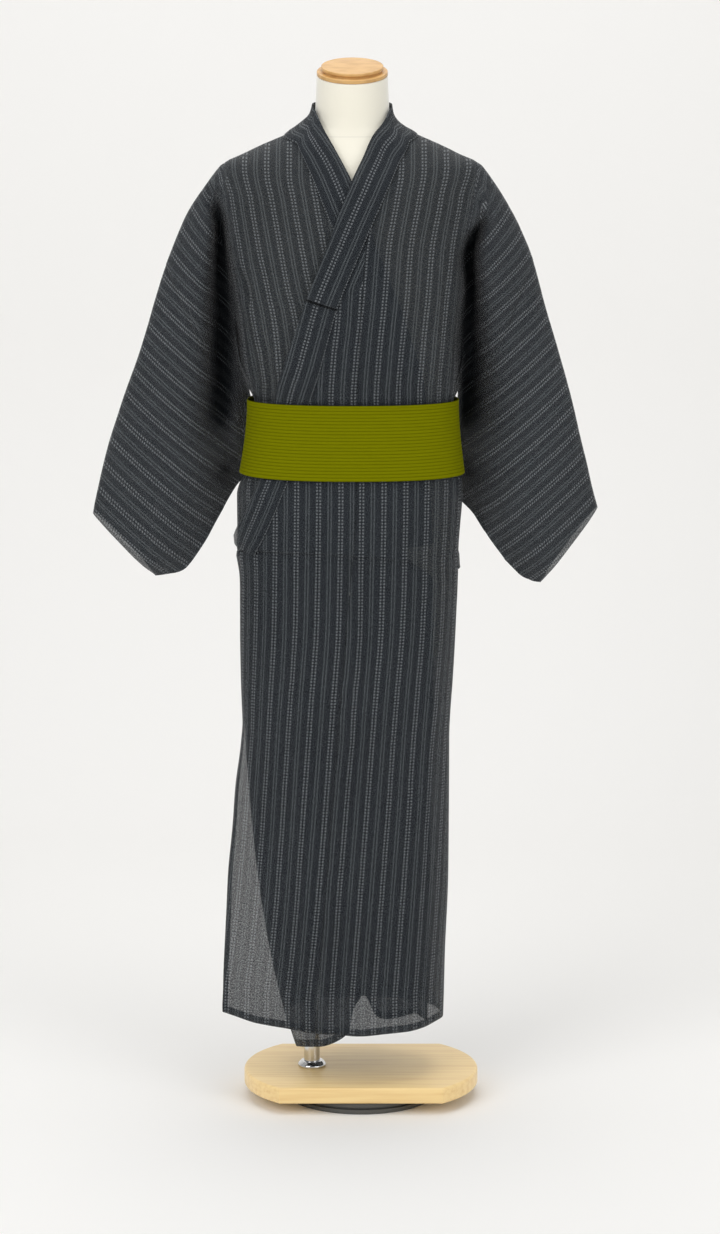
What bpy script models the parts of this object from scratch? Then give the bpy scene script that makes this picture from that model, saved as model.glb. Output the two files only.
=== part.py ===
"""A cotton yukata with a ribbed obi, worn by a limbless dress form on a stand.

Metres, +Z up. The origin is the centre of the foot disc's underside, on the floor. The garment
faces -Y, and +X is the wearer's left. Cloth is measured on one trunk surface: a point is a
height, an angle round the trunk (0 at the front, 90 degrees at the wearer's left) and a
distance out from the surface, so that layers lie on each other without touching.
"""

import math
from math import cos, pi, radians, sin

import bmesh
import bpy
import numpy as np
from mathutils import Vector
from mathutils.bvhtree import BVHTree

# ---- driving dimensions -------------------------------------------------------------------

CLOTH = 0.0010  # thickness of a cotton wall
PLY = 0.0016  # from one layer of cloth to the next
LAYER_GAP = 0.0004  # the least between two layers
SEAM_GAP = 0.0004  # between two panels that are sewn together
SLEEVE_GAP = 0.0008  # between a sleeve and the wing it is sewn to
EDGE_LOOK = 0.030  # how far past the sleeve seam its edges are lined up
UNDERLAP = 0.008  # how far a panel runs under the collar that is sewn on it

BOARD_WIDTH, BOARD_DEPTH, BOARD_THICK = 0.364, 0.240, 0.0256
BOARD_STRAIGHT = 0.252  # the straight part of the board's front and back edges
FOOT_RADIUS, FOOT_HEIGHT = 0.1175, 0.0172
POLE_RADIUS, POLE_X = 0.0125, -0.0765
FLANGE_RADIUS, FLANGE_HEIGHT = 0.022, 0.009
REST_GAP = 0.0003  # between two hard pieces that rest on each other
BOARD_BOTTOM = FOOT_HEIGHT + REST_GAP
BOARD_TOP = BOARD_BOTTOM + BOARD_THICK
BOARD_EASE = 0.0028  # the board's rounded edges
FLANGE_BOTTOM = BOARD_TOP + REST_GAP
FORM_BOTTOM = 0.700
NECK_X, NECK_TOP = -0.0130, 1.5780
NECK_TILT = radians(13)  # the neck's top leans to the front
NECK_START = 1.525  # the neck is a plain tube above this
NECK_TAPER = 0.036  # how much narrower it is at the top
CAP_RADIUS, CAP_UPPER_RADIUS, CAP_DISC = 0.053, 0.0465, 0.0070

OBI_BOTTOM, OBI_TOP, OBI_THICK = 0.9785, 1.0940, 0.0030
OBI_RIBS, OBI_RIB_HEIGHT = 23, 0.0008
OBI_LAP = 0.060  # the far end of the obi lies over its start at the back
OBI_END = 0.2  # the near end's angle past the centre back
OBI_CLIMB, OBI_CLIMB_RUN = 0.65, 0.35  # the angles where the far end climbs over the near one
OBI_LAYERS_BACK, OBI_LAYERS_FRONT = 1.4, 6.0  # how many plies of cloth it clears
OBI_SIDE = radians(118)  # it comes in to the back's fewer layers past this
OBI_STEPS, OBI_LEVELS = 38, 4
WAIST_RADIUS = 0.17

FRONT_COLUMNS, SIDE_COLUMNS, BACK_COLUMNS = 7, 3, 5
OKUMI_COLUMNS, COLLAR_COLUMNS = 4, 4
WING_RINGS, SLEEVE_RINGS = 4, 8
WING_BLEND = 0.6  # the share of the wing over which the chest turns into the sleeve
FORM_COLUMNS, TURNED_STEPS, BOARD_ARC_STEPS = 30, 28, 14

FRONT_LAYERS = 3  # the left front lies this many plies out, over the right front
LIFT_TOP, LIFT_DROP = 1.465, 0.040  # where it starts to, and over what height
LIFT_ANGLE, LIFT_TURN = radians(110), radians(40)  # it lies on the inner layer again past this
FOLD_FACE = 0.5  # folds fade where the surface turns this far from the front or back
FOLD_IN, FOLD_OUT = 0.25, 0.2  # the shares of a fold's length over which it starts and ends
SETTLE_ROUNDS, SETTLE_SAMPLES = 12, (0.0, 0.25, 0.5, 0.75, 1.0)


def table(columns, *rows):
    """Rows of numbers under named columns, sorted by the first column."""
    names, rows = columns.split(), sorted(rows)
    return {name: np.array([row[i] for row in rows], float) for i, name in enumerate(names)}


# The trunk that the inner layer of cloth lies on: its sides, front and back at each height,
# and how square its section is (2 is an ellipse).
TRUNK = table(
    "height left right front back square",
    (1.5400, -0.0685, 0.0425, 0.0570, 0.0590, 2.00),
    (1.5190, -0.0745, 0.0460, 0.0600, 0.0620, 2.00),
    (1.5040, -0.0900, 0.0570, 0.0640, 0.0660, 2.05),
    (1.4890, -0.1125, 0.0830, 0.0690, 0.0710, 2.10),
    (1.4745, -0.1470, 0.1160, 0.0745, 0.0780, 2.15),
    (1.4590, -0.1790, 0.1490, 0.0800, 0.0850, 2.20),
    (1.4435, -0.2090, 0.1780, 0.0860, 0.0920, 2.25),
    (1.4000, -0.2180, 0.1830, 0.0990, 0.1030, 2.30),
    (1.3200, -0.2120, 0.1720, 0.1070, 0.1090, 2.35),
    (1.2400, -0.2030, 0.1640, 0.1090, 0.1100, 2.40),
    (1.1600, -0.1930, 0.1600, 0.1030, 0.1060, 2.40),
    (1.1080, -0.1690, 0.1440, 0.0870, 0.0900, 2.30),
    (1.0900, -0.1610, 0.1365, 0.0790, 0.0830, 2.30),
    (0.9800, -0.1735, 0.1460, 0.0790, 0.0840, 2.30),
    (0.9650, -0.1830, 0.1500, 0.0820, 0.0860, 2.30),
    (0.9450, -0.1880, 0.1505, 0.0860, 0.0880, 2.30),
    (0.9000, -0.1880, 0.1475, 0.0900, 0.0920, 2.30),
    (0.8650, -0.1860, 0.1455, 0.0920, 0.0940, 2.30),
    (0.8200, -0.1815, 0.1450, 0.0940, 0.0960, 2.30),
    (0.7550, -0.1815, 0.1425, 0.0960, 0.0980, 2.30),
    (0.6600, -0.1800, 0.1375, 0.0980, 0.0990, 2.30),
    (0.5630, -0.1770, 0.1325, 0.1000, 0.1000, 2.30),
    (0.3700, -0.1610, 0.1320, 0.1020, 0.1020, 2.30),
    (0.2350, -0.1420, 0.1275, 0.1030, 0.1030, 2.30),
    (0.0800, -0.1060, 0.1230, 0.1040, 0.1020, 2.30),
)

# The dress form inside the cloth, measured the same way.
FORM = table(
    "height left right front back square",
    (1.5500, -0.0675, 0.0415, 0.0540, 0.0540, 2.00),
    (1.5200, -0.0685, 0.0425, 0.0550, 0.0550, 2.00),
    (1.5040, -0.0740, 0.0470, 0.0570, 0.0580, 2.00),
    (1.4890, -0.0980, 0.0700, 0.0610, 0.0630, 2.10),
    (1.4745, -0.1440, 0.1130, 0.0670, 0.0700, 2.15),
    (1.4590, -0.1765, 0.1465, 0.0740, 0.0780, 2.20),
    (1.4435, -0.2030, 0.1720, 0.0800, 0.0860, 2.25),
    (1.4250, -0.2060, 0.1745, 0.0860, 0.0920, 2.25),
    (1.3800, -0.1950, 0.1640, 0.0960, 0.0990, 2.30),
    (1.3200, -0.1860, 0.1550, 0.1010, 0.1030, 2.30),
    (1.2400, -0.1800, 0.1500, 0.1030, 0.1030, 2.30),
    (1.1600, -0.1720, 0.1440, 0.0950, 0.0970, 2.30),
    (1.0900, -0.1550, 0.1305, 0.0740, 0.0780, 2.30),
    (0.9800, -0.1660, 0.1390, 0.0740, 0.0790, 2.30),
    (0.9000, -0.1720, 0.1400, 0.0820, 0.0860, 2.30),
    (0.8200, -0.1690, 0.1370, 0.0860, 0.0900, 2.30),
    (0.7300, -0.1620, 0.1310, 0.0850, 0.0880, 2.30),
    (FORM_BOTTOM, -0.1520, 0.1220, 0.0780, 0.0810, 2.30),
)

# Long soft folds: where each starts and ends, its half width and its height (below nought for
# a trough), on the front or the back. The first table is for the outer front alone.
OUTER_FOLDS = table(
    "top_x bottom_x top bottom width height face",
    (-0.0900, -0.0700, 0.84, -0.10, 0.018, 0.0030, 1),
    (-0.0440, -0.0300, 0.80, -0.10, 0.016, -0.0020, 1),
    (0.0110, -0.0420, 0.85, -0.10, 0.015, -0.0030, 1),
    (0.0400, -0.0060, 0.85, -0.10, 0.017, 0.0030, 1),
    (0.0950, 0.0650, 0.82, -0.10, 0.018, 0.0025, 1),
    (0.0950, 0.0850, 1.38, 1.13, 0.016, -0.0030, 1),
)
FOLDS = table(
    "top_x bottom_x top bottom width height face",
    (-0.1000, -0.0700, 0.86, -0.10, 0.018, 0.0040, -1),
    (-0.0450, -0.0300, 0.84, -0.10, 0.015, -0.0035, -1),
    (0.0300, 0.0200, 0.86, -0.10, 0.016, 0.0040, -1),
    (0.0850, 0.0700, 0.84, -0.10, 0.016, -0.0035, -1),
    (-0.1300, -0.1150, 1.42, 1.13, 0.016, -0.0035, 1),
    (-0.0900, -0.0600, 1.40, 1.12, 0.018, -0.0040, -1),
    (0.0600, 0.0400, 1.40, 1.12, 0.018, -0.0040, -1),
)

# Where the chest or back meets the sleeve's fold, at each side.
VALLEY = table(
    "height left right",
    (1.4435, -0.1970, 0.1660),
    (1.4000, -0.2050, 0.1640),
    (1.3200, -0.2010, 0.1480),
    (1.2400, -0.1930, 0.1420),
    (1.1600, -0.1830, 0.1480),
    (1.1080, -0.1600, 0.1340),
)

# Heights of the panels' rows. The armhole runs from one named row to the other.
ARMHOLE_TOP, ARMHOLE_BOTTOM = 1.4435, 1.1080
CHEST_ROWS = (1.4870, 1.4745, 1.4590, 1.4435, 1.4150, 1.3820, 1.3450, 1.3180)
CHEST_ROWS += (1.2700, 1.2200, 1.1700, 1.1350, 1.1080, 1.0900, 1.0350, 0.9800, 0.9600)
CHEST_ROWS += (0.9350, 0.9050)
SKIRT_ROWS = (0.8000, 0.7300, 0.6400, 0.5400, 0.4400, 0.3400, 0.2400)
OKUMI_TOP = 1.3180  # the front panel meets the collar above this
CREST_RISE = 0.0145  # how much higher the top row is on the shoulder than at the centre

# The tuck round the hips: height above its lower edge, and how far the cloth stands out.
TUCK = ((0.014, 0.0), (0.004, 0.0022), (0.0, 0.0028), (-0.0008, 0.0))
TUCK_LINE = table("x height", (-0.19, 0.8700), (-0.09, 0.8710), (0.0, 0.8660), (0.07, 0.8560),
                  (0.115, 0.8420), (0.155, 0.8320))
TUCK_BACK = 0.8500

# The two legs of the collar, from the neck's side down: both edges of the band at each row.
LEFT_LEG = (
    (0.0426, 1.5340, 0.0770, 1.4950),
    (0.0400, 1.5260, 0.0715, 1.4800),
    (0.0326, 1.5105, 0.0655, 1.4670),
    (0.0162, 1.4898, 0.0576, 1.4539),
    (0.0020, 1.4580, 0.0470, 1.4300),
    (-0.0133, 1.4258, 0.0356, 1.4050),
    (-0.0300, 1.3840, 0.0170, 1.3640),
    (-0.0457, 1.3416, -0.0011, 1.3220),
    (-0.0625, 1.2980, -0.0190, 1.2800),
    (-0.0798, 1.2545, -0.0350, 1.2400),
    (-0.0900, 1.2240, -0.0435, 1.2100),
    (-0.1008, 1.1928, -0.0520, 1.1780),
    (-0.1120, 1.1590, -0.0610, 1.1450),
    (-0.1215, 1.1280, -0.0705, 1.1150),
    (-0.1257, 1.1029, -0.0761, 1.0973),
    (-0.1330, 1.0600, -0.0860, 1.0580),
    (-0.1410, 1.0150, -0.0960, 1.0180),
    (-0.1491, 0.9748, -0.1066, 0.9782),
    (-0.1610, 0.9480, -0.1180, 0.9500),
    (-0.1740, 0.9180, -0.1310, 0.9180),
    (-0.1840, 0.8950, -0.1440, 0.8880),
    (-0.1872, 0.8840, -0.1502, 0.8740),
    (-0.1900, 0.8740, -0.1560, 0.8620),
)
RIGHT_LEG = (
    (-0.0690, 1.5340, -0.1014, 1.4941),
    (-0.0660, 1.5260, -0.0940, 1.4780),
    (-0.0578, 1.5066, -0.0860, 1.4600),
    (-0.0355, 1.4670, -0.0723, 1.4311),
    (-0.0133, 1.4255, -0.0590, 1.3990),
    (0.0030, 1.3840, -0.0440, 1.3620),
    (0.0187, 1.3416, -0.0245, 1.3200),
    (0.0350, 1.2980, -0.0070, 1.2780),
    (0.0528, 1.2545, 0.0100, 1.2360),
    (0.0738, 1.1928, 0.0290, 1.1780),
    (0.0900, 1.1400, 0.0430, 1.1280),
    (0.0960, 1.1029, 0.0500, 1.0973),
    (0.0980, 1.0400, 0.0530, 1.0380),
    (0.1000, 0.9748, 0.0560, 0.9782),
    (0.1050, 0.9300, 0.0590, 0.9280),
    (0.1070, 0.8800, 0.0610, 0.8760),
)
NECK_SIDE_HEIGHT = LEFT_LEG[0][1]
NECK_BAND_TOP, NECK_BAND_BOTTOM, NECK_BAND_STEPS = 1.5380, 1.4800, 12
OVER_COLLAR_ROWS = 10  # rows of each leg that the over-collar covers

# Where each okumi is sewn to its front panel.
LEFT_SEAM = table("height x", (1.345, 0.0075), (1.101, -0.006), (0.9325, -0.0075),
                  (0.765, -0.0211), (0.6426, -0.0302), (0.3365, -0.0533), (0.09, -0.0690))
RIGHT_SEAM = table("height x", (1.345, -0.036), (1.10, -0.0220), (0.93, -0.0200),
                   (0.64, -0.0120), (0.34, -0.0040), (0.09, 0.0040))
RIGHT_OKUMI_EDGE = table("height x", (0.87, 0.0690), (0.84, 0.1080), (0.40, 0.1060), (0.09, 0.1000))

# How far the outer front's free edge stands past the layers under it.
FLAP = table(
    "height reach",
    (0.8600, 0.002), (0.8000, 0.000), (0.6000, 0.000), (0.5630, 0.004), (0.5000, 0.016),
    (0.4380, 0.026), (0.3750, 0.039), (0.3120, 0.050), (0.2480, 0.063), (0.1840, 0.078),
    (0.1410, 0.089), (0.0800, 0.094),
)
FLAP_START, FLAP_EDGE, FLAP_FORWARD = radians(-30), radians(-80), 0.35

# Hems: height at each place across. The under front hangs unevenly.
OUTER_HEM = table("x height", (-0.1206, 0.1475), (-0.1187, 0.1442), (-0.1140, 0.1388),
                  (-0.1079, 0.1338), (-0.0986, 0.1305), (-0.0880, 0.1283), (-0.0714, 0.1250),
                  (-0.0250, 0.1235), (0.0400, 0.1250), (0.0914, 0.1284), (0.1151, 0.1320),
                  (0.1240, 0.1300))
UNDER_HEM = table("x height", (-0.1250, 0.1180), (-0.1085, 0.1150), (-0.1045, 0.0895),
                  (-0.0950, 0.0918), (-0.0785, 0.0973), (-0.0600, 0.1015), (-0.0430, 0.1088),
                  (-0.0250, 0.1215), (-0.0130, 0.1450), (-0.0040, 0.1700), (0.0060, 0.1860),
                  (0.0140, 0.1620), (0.0490, 0.1460), (0.1000, 0.1480))
BACK_HEM = 0.1260

# Each arm: along the shoulder fold from the shoulder's corner, the fold's place, the place of
# the bag's lower fold, how far that leans back, and the bag's half thickness.
RIGHT_ARM = table(
    "reach fold_x fold_height bag_x bag_height bag_y depth",
    (0.000, -0.2183, 1.4390, -0.1780, 1.1120, 0.000, 0.047),
    (0.045, -0.2366, 1.4100, -0.1810, 1.1060, 0.014, 0.052),
    (0.100, -0.2612, 1.3705, -0.1810, 1.0820, 0.040, 0.051),
    (0.180, -0.2935, 1.2950, -0.1660, 1.0080, 0.062, 0.044),
    (0.230, -0.3085, 1.2470, -0.1730, 0.9750, 0.062, 0.042),
    (0.275, -0.3218, 1.2030, -0.1930, 0.9480, 0.047, 0.042),
    (0.390, -0.3580, 1.0975, -0.2222, 0.9000, 0.018, 0.041),
    (0.500, -0.3914, 0.9900, -0.2506, 0.8535, 0.000, 0.036),
    (0.550, -0.4035, 0.9400, -0.2750, 0.8250, 0.000, 0.032),
    (0.575, -0.4080, 0.9180, -0.3015, 0.8075, 0.000, 0.028),
)
LEFT_ARM = table(
    "reach fold_x fold_height bag_x bag_height bag_y depth",
    (0.000, 0.1929, 1.4330, 0.1530, 1.1120, 0.000, 0.047),
    (0.045, 0.2115, 1.4030, 0.1560, 1.1060, 0.014, 0.052),
    (0.100, 0.2385, 1.3500, 0.1560, 1.0760, 0.040, 0.051),
    (0.155, 0.2586, 1.3020, 0.1450, 1.0220, 0.056, 0.046),
    (0.230, 0.2780, 1.2335, 0.1440, 0.9530, 0.062, 0.042),
    (0.325, 0.3043, 1.1420, 0.1755, 0.9080, 0.030, 0.042),
    (0.405, 0.3250, 1.0670, 0.1975, 0.8740, 0.000, 0.040),
    (0.485, 0.3442, 0.9900, 0.2255, 0.8380, 0.000, 0.036),
    (0.520, 0.3520, 0.9570, 0.2455, 0.8170, 0.000, 0.033),
    (0.550, 0.3604, 0.9260, 0.2640, 0.7970, 0.000, 0.028),
)
RIGHT_SLEEVE_SEAM, LEFT_SLEEVE_SEAM = 0.180, 0.155
ARM_SQUARE, ARM_END_ANGLE = 2.4, radians(38)
BAG_FLATNESS = 2.2  # how far the bag flattens towards its lower fold


# ---- curves and the trunk surface ---------------------------------------------------------

def curve(rows, column, at):
    """A column's value at a place, on a smooth curve through the rows that never overshoots."""
    key = next(iter(rows))
    xs, ys = rows[key], rows[column]
    if at <= xs[0]:
        return float(ys[0])
    if at >= xs[-1]:
        return float(ys[-1])
    gaps = np.diff(xs)
    slopes = np.diff(ys) / gaps

    def tangent(j):
        if j in (0, len(xs) - 1):
            return slopes[min(j, len(slopes) - 1)]
        a, b = slopes[j - 1], slopes[j]
        return 0.0 if a * b <= 0 else 2 * a * b / (a + b)

    i = int(np.searchsorted(xs, at)) - 1
    gap = gaps[i]
    s = (at - xs[i]) / gap
    value = (2 * s**3 - 3 * s**2 + 1) * ys[i] + (s**3 - 2 * s**2 + s) * tangent(i) * gap
    value += (3 * s**2 - 2 * s**3) * ys[i + 1] + (s**3 - s**2) * tangent(i + 1) * gap
    return float(value)


def smooth(share):
    """0 to 1 with level ends."""
    share = min(1.0, max(0.0, share))
    return share * share * (3 - 2 * share)


def power(value, exponent):
    return math.copysign(abs(value) ** exponent, value)


def section(rows, height):
    left, right, front, back, square = (
        curve(rows, name, height) for name in ("left", "right", "front", "back", "square")
    )
    return (left + right) / 2, (right - left) / 2, front, back, square


def on_section(rows, height, angle):
    centre, half, front, back, square = section(rows, height)
    x = centre + half * power(sin(angle), 2 / square)
    depth = front if cos(angle) > 0 else back
    return np.array([x, -depth * power(cos(angle), 2 / square), height])


def angle_at(x, height, back=False):
    """The angle round the trunk of a point at x, on the front or the back."""
    centre, half, _, _, square = section(TRUNK, height)
    sine = power(min(1.0, max(-1.0, (x - centre) / half)), square / 2)
    angle = math.asin(sine)
    return (pi - angle if x >= centre else -pi - angle) if back else angle


def fold_relief(folds, x, height, facing):
    """How far the long folds stand out at a point; facing is 1 at the front and -1 at the back."""
    out = 0.0
    for i in range(len(folds["top_x"])):
        top, bottom = folds["top"][i], folds["bottom"][i]
        share = (top - height) / (top - bottom)
        middle = folds["top_x"][i] + (folds["bottom_x"][i] - folds["top_x"][i]) * share
        fade = smooth(share / FOLD_IN) * smooth((1.0 - share) / FOLD_OUT)
        bump = math.exp(-(((x - middle) / folds["width"][i]) ** 2))
        out += folds["height"][i] * bump * fade * max(0.0, facing * folds["face"][i])
    return out


def trunk(height, angle, out=0.0, outer=False):
    """A point on the trunk, moved out along the surface's normal."""
    step = 0.001
    place = on_section(TRUNK, height, angle)
    round_it = on_section(TRUNK, height, angle + step) - on_section(TRUNK, height, angle - step)
    up = on_section(TRUNK, height + step, angle) - on_section(TRUNK, height - step, angle)
    normal = np.cross(round_it, up)
    normal /= np.linalg.norm(normal)
    facing = math.copysign(smooth(abs(cos(angle)) / FOLD_FACE), cos(angle))
    out += fold_relief(FOLDS, place[0], height, facing)
    if outer:
        out += fold_relief(OUTER_FOLDS, place[0], height, facing)
    return place + normal * out


def left_lift(height, angle):
    """How far out the left (outer) front lies: over the right front, but not over the back."""
    down = smooth((LIFT_TOP - height) / LIFT_DROP)
    forward = smooth((LIFT_ANGLE - angle) / LIFT_TURN)
    return FRONT_LAYERS * PLY * down * forward


def outer_front(height, angle, out=0.0):
    """A point on the outer front, whose free edge stands away from the layers under it."""
    place = trunk(height, angle, left_lift(height, angle) + out, outer=True)
    share = min(1.0, max(0.0, (FLAP_START - angle) / (FLAP_START - FLAP_EDGE)))
    away = curve(FLAP, "reach", height) * share**1.5 if height < FLAP["height"][-1] else 0.0
    return place + away * np.array([-1.0, -FLAP_FORWARD, 0.0])


# ---- meshes -------------------------------------------------------------------------------

def material(name, colour, rough, metallic=0.0):
    """A Principled material, one for each sub-part."""
    new = bpy.data.materials.new(name)
    new.use_nodes = True
    shader = new.node_tree.nodes["Principled BSDF"]
    shader.inputs["Base Color"].default_value = (*colour, 1.0)
    shader.inputs["Roughness"].default_value = rough
    shader.inputs["Metallic"].default_value = metallic
    new.diffuse_color = (*colour, 1.0)
    return new


INK = (0.030, 0.036, 0.042)
OLIVE = (0.145, 0.150, 0.002)
CREAM = (0.820, 0.790, 0.690)
PINE = (0.660, 0.490, 0.240)
STEEL = (0.700, 0.700, 0.700)
BLACK = (0.050, 0.050, 0.045)


def link(obj, finish):
    obj.data.materials.append(finish)
    PARTS.objects.link(obj)
    return obj


def solid_from(name, points, faces, finish):
    """A named object from one closed body's points and faces, turned to face out."""
    mesh = bpy.data.meshes.new(name)
    mesh.from_pydata([tuple(p) for p in points], [], faces)
    shape = bmesh.new()
    shape.from_mesh(mesh)
    bmesh.ops.recalc_face_normals(shape, faces=shape.faces)
    shape.to_mesh(mesh)
    shape.free()
    mesh.shade_smooth()
    mesh.set_sharp_from_angle(angle=radians(50))
    return link(bpy.data.objects.new(name, mesh), finish)


def vertex_normals(points, faces):
    """The mean direction of the faces round each point."""
    normals = np.zeros((len(points), 3))
    for face in faces:
        a, b, c, d = (points[i] for i in face)
        across = np.cross(c - a, d - b)
        for i in face:
            normals[i] += across
    return normals / np.maximum(np.linalg.norm(normals, axis=1), 1e-12)[:, None]


def wall_mesh(points, faces, thick=CLOTH, raised=None, beyond=()):
    """The points and faces of a wall of cloth on a sheet of four-sided faces that face out.

    The inner side is the sheet itself. The outer side is moved out by the cloth's thickness,
    and further at the points that are raised. Both are split into triangles the same way, so
    that a twisted stretch keeps its thickness. Faces beyond the sheet's edge only turn the edge.
    """
    normals = vertex_normals(points, [*faces, *beyond])
    extra = np.zeros(len(points)) if raised is None else np.array(raised)
    outer = points + normals * (thick + extra)[:, None]
    used = sorted({number for face in faces for number in face})
    order = {number: i for i, number in enumerate(used)}
    faces = [tuple(order[number] for number in face) for face in faces]
    count = len(used)
    sides = {side for face in faces for side in zip(face, face[1:] + face[:1])}
    rim = [(b, a, a + count, b + count) for a, b in sorted(sides) if (b, a) not in sides]
    split = [half for a, b, c, d in faces for half in ((a, b, c), (a, c, d))]
    inner = [tuple(reversed(face)) for face in split]
    shell = [tuple(i + count for i in face) for face in split]
    return np.concatenate([points[used], outer[used]]), inner + shell + rim


def tree_of(wall):
    return BVHTree.FromPolygons([Vector(p) for p in wall[0]], wall[1])


def settle(points, faces, under, gap=LAYER_GAP, look=0.014):
    """A sheet's points, moved out until the whole sheet lies clear of the walls under it."""
    spots = [(u, v) for u in SETTLE_SAMPLES for v in SETTLE_SAMPLES]
    samples = [((1 - u) * (1 - v), u * (1 - v), u * v, (1 - u) * v) for u, v in spots]
    points = np.array(points)
    normals = vertex_normals(points, faces)
    for _ in range(SETTLE_ROUNDS):
        push = np.zeros(len(points))
        for face in faces:
            corners, turned_out = points[list(face)], normals[list(face)]
            for weights in samples:
                place, normal = weights @ corners, weights @ turned_out
                normal /= np.linalg.norm(normal)
                for tree in under:
                    hit = tree.ray_cast(Vector(place + normal * look), Vector(-normal), 2 * look)[0]
                    if hit is not None:
                        short = gap - float((place - np.array(hit)) @ normal)
                        if short > 0:
                            push[list(face)] = np.maximum(push[list(face)], short)
        if not push.any():
            break
        points += normals * push[:, None]
    return points


def cloth_wall(name, wall):
    return solid_from(name, *wall, COTTON)


def sheet_faces(rows, columns, skip=lambda row, column: False):
    """The faces of a sheet whose points run along each row in turn."""
    faces = []
    for row in range(rows - 1):
        for column in range(columns - 1):
            if not skip(row, column):
                a = row * columns + column
                faces.append((a, a + columns, a + columns + 1, a + 1))
    return faces


# ---- panels -------------------------------------------------------------------------------

def leg_edge(leg, height, inward):
    """Where a panel ends under a leg of the collar: inside the band's outer edge."""
    heights = [row[3] for row in leg][::-1]
    places = [row[2] for row in leg][::-1]
    return float(np.interp(height, heights, places)) + inward * UNDERLAP


def top_height(x, angle):
    """The top row, which runs under the collar round the neck."""
    return CHEST_ROWS[0] + CREST_RISE * (1 - abs(cos(angle)))


def tuck_height(x, angle):
    return TUCK_BACK if abs(angle) > pi / 2 else curve(TUCK_LINE, "height", x)


def row_heights(hem):
    """Every row of a panel: its height at a place, and how far its outside is raised."""
    rows = [(top_height, 0.0)]
    rows += [(lambda x, angle, z=z: z, 0.0) for z in CHEST_ROWS[1:]]
    for above, out in TUCK:
        rows.append((lambda x, angle, d=above: tuck_height(x, angle) + d, out))
    rows += [(lambda x, angle, z=z: z, 0.0) for z in SKIRT_ROWS]
    rows.append((hem, 0.0))
    return rows


def outer_hem(x, angle):
    return BACK_HEM if abs(angle) > pi / 2 else curve(OUTER_HEM, "height", x)


def under_hem(x, angle):
    return BACK_HEM if abs(angle) > pi / 2 else curve(UNDER_HEM, "height", x)


def blend_angles(start, end, steps):
    return [start + (end - start) * i / steps for i in range(steps + 1)]


def valley_angle(side, height):
    """Where the sleeve's fold leaves the trunk, and the same angle above and below it."""
    level = min(ARMHOLE_TOP, max(ARMHOLE_BOTTOM, height))
    return angle_at(curve(VALLEY, "right" if side > 0 else "left", level), level)


def panel_angles(side, height, inner_x):
    """The angles of a body panel's columns, from its front edge round to the centre back."""
    centre = section(TRUNK, height)[0]
    valley = valley_angle(side, height)
    valley_back = side * pi - valley
    middle_back = angle_at(centre + side * SEAM_GAP / 2, height, back=True)
    front = blend_angles(angle_at(inner_x, height), valley, FRONT_COLUMNS)
    round_side = blend_angles(valley, valley_back, SIDE_COLUMNS)
    back = blend_angles(valley_back, middle_back, BACK_COLUMNS)
    return front + round_side[1:] + back[1:]


def body_panel(side, seam, leg, arm, sleeve_seam, surface, hem, under=()):
    """One length of cloth from the front hem over the shoulder to the back hem, as a wall.

    The part past the armhole's line, out to the sleeve seam, is a wing of the same cloth.
    """
    points, raised, rows = [], [], row_heights(hem)
    tops = [row[0](0.0, 0.0) for row in rows]
    for height_of, out in rows:
        level = height_of(0.0, 0.0)
        if level > OKUMI_TOP:
            inner_x = leg_edge(leg, level, -side)
        else:
            inner_x = curve(seam, "x", level) + side * SEAM_GAP / 2
        for angle in panel_angles(side, level, inner_x):
            x = on_section(TRUNK, level, angle)[0]
            points.append(surface(height_of(x, angle), angle))
            raised.append(out)
    columns = FRONT_COLUMNS + SIDE_COLUMNS + BACK_COLUMNS + 1
    top, bottom = tops.index(ARMHOLE_TOP), tops.index(ARMHOLE_BOTTOM)
    first, last = FRONT_COLUMNS, FRONT_COLUMNS + SIDE_COLUMNS

    def in_armhole(row, column):
        return top <= row < bottom and first <= column < last

    faces = facing(sheet_faces(len(rows), columns, in_armhole), side)
    used = {number for face in faces for number in face}
    order = {number: i for i, number in enumerate(sorted(used))}
    faces = [tuple(order[number] for number in face) for face in faces]
    points = settle([points[number] for number in sorted(used)], faces, under)
    raised = [raised[number] for number in sorted(used)]
    loop = [order[number] for number in armhole_loop(columns, top, bottom, first, last)]
    wing_points, wing_faces, beyond = wing(points, loop, arm, sleeve_seam, bottom - top)
    points = np.concatenate([points, wing_points])
    raised += [0.0] * len(wing_points)
    return wall_mesh(points, faces + facing(wing_faces, side), raised=raised,
                     beyond=facing(beyond, side))


def facing(faces, side):
    """The faces as they are at the wearer's left, and turned over at the right."""
    return faces if side > 0 else [tuple(reversed(face)) for face in faces]


def armhole_loop(columns, top, bottom, first, last):
    """The points round the armhole: over the shoulder, down the back, under and up the front."""
    loop = [top * columns + c for c in range(first, last + 1)]
    loop += [r * columns + last for r in range(top + 1, bottom + 1)]
    loop += [bottom * columns + c for c in range(last - 1, first - 1, -1)]
    loop += [r * columns + first for r in range(bottom - 1, top, -1)]
    return loop


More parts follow.
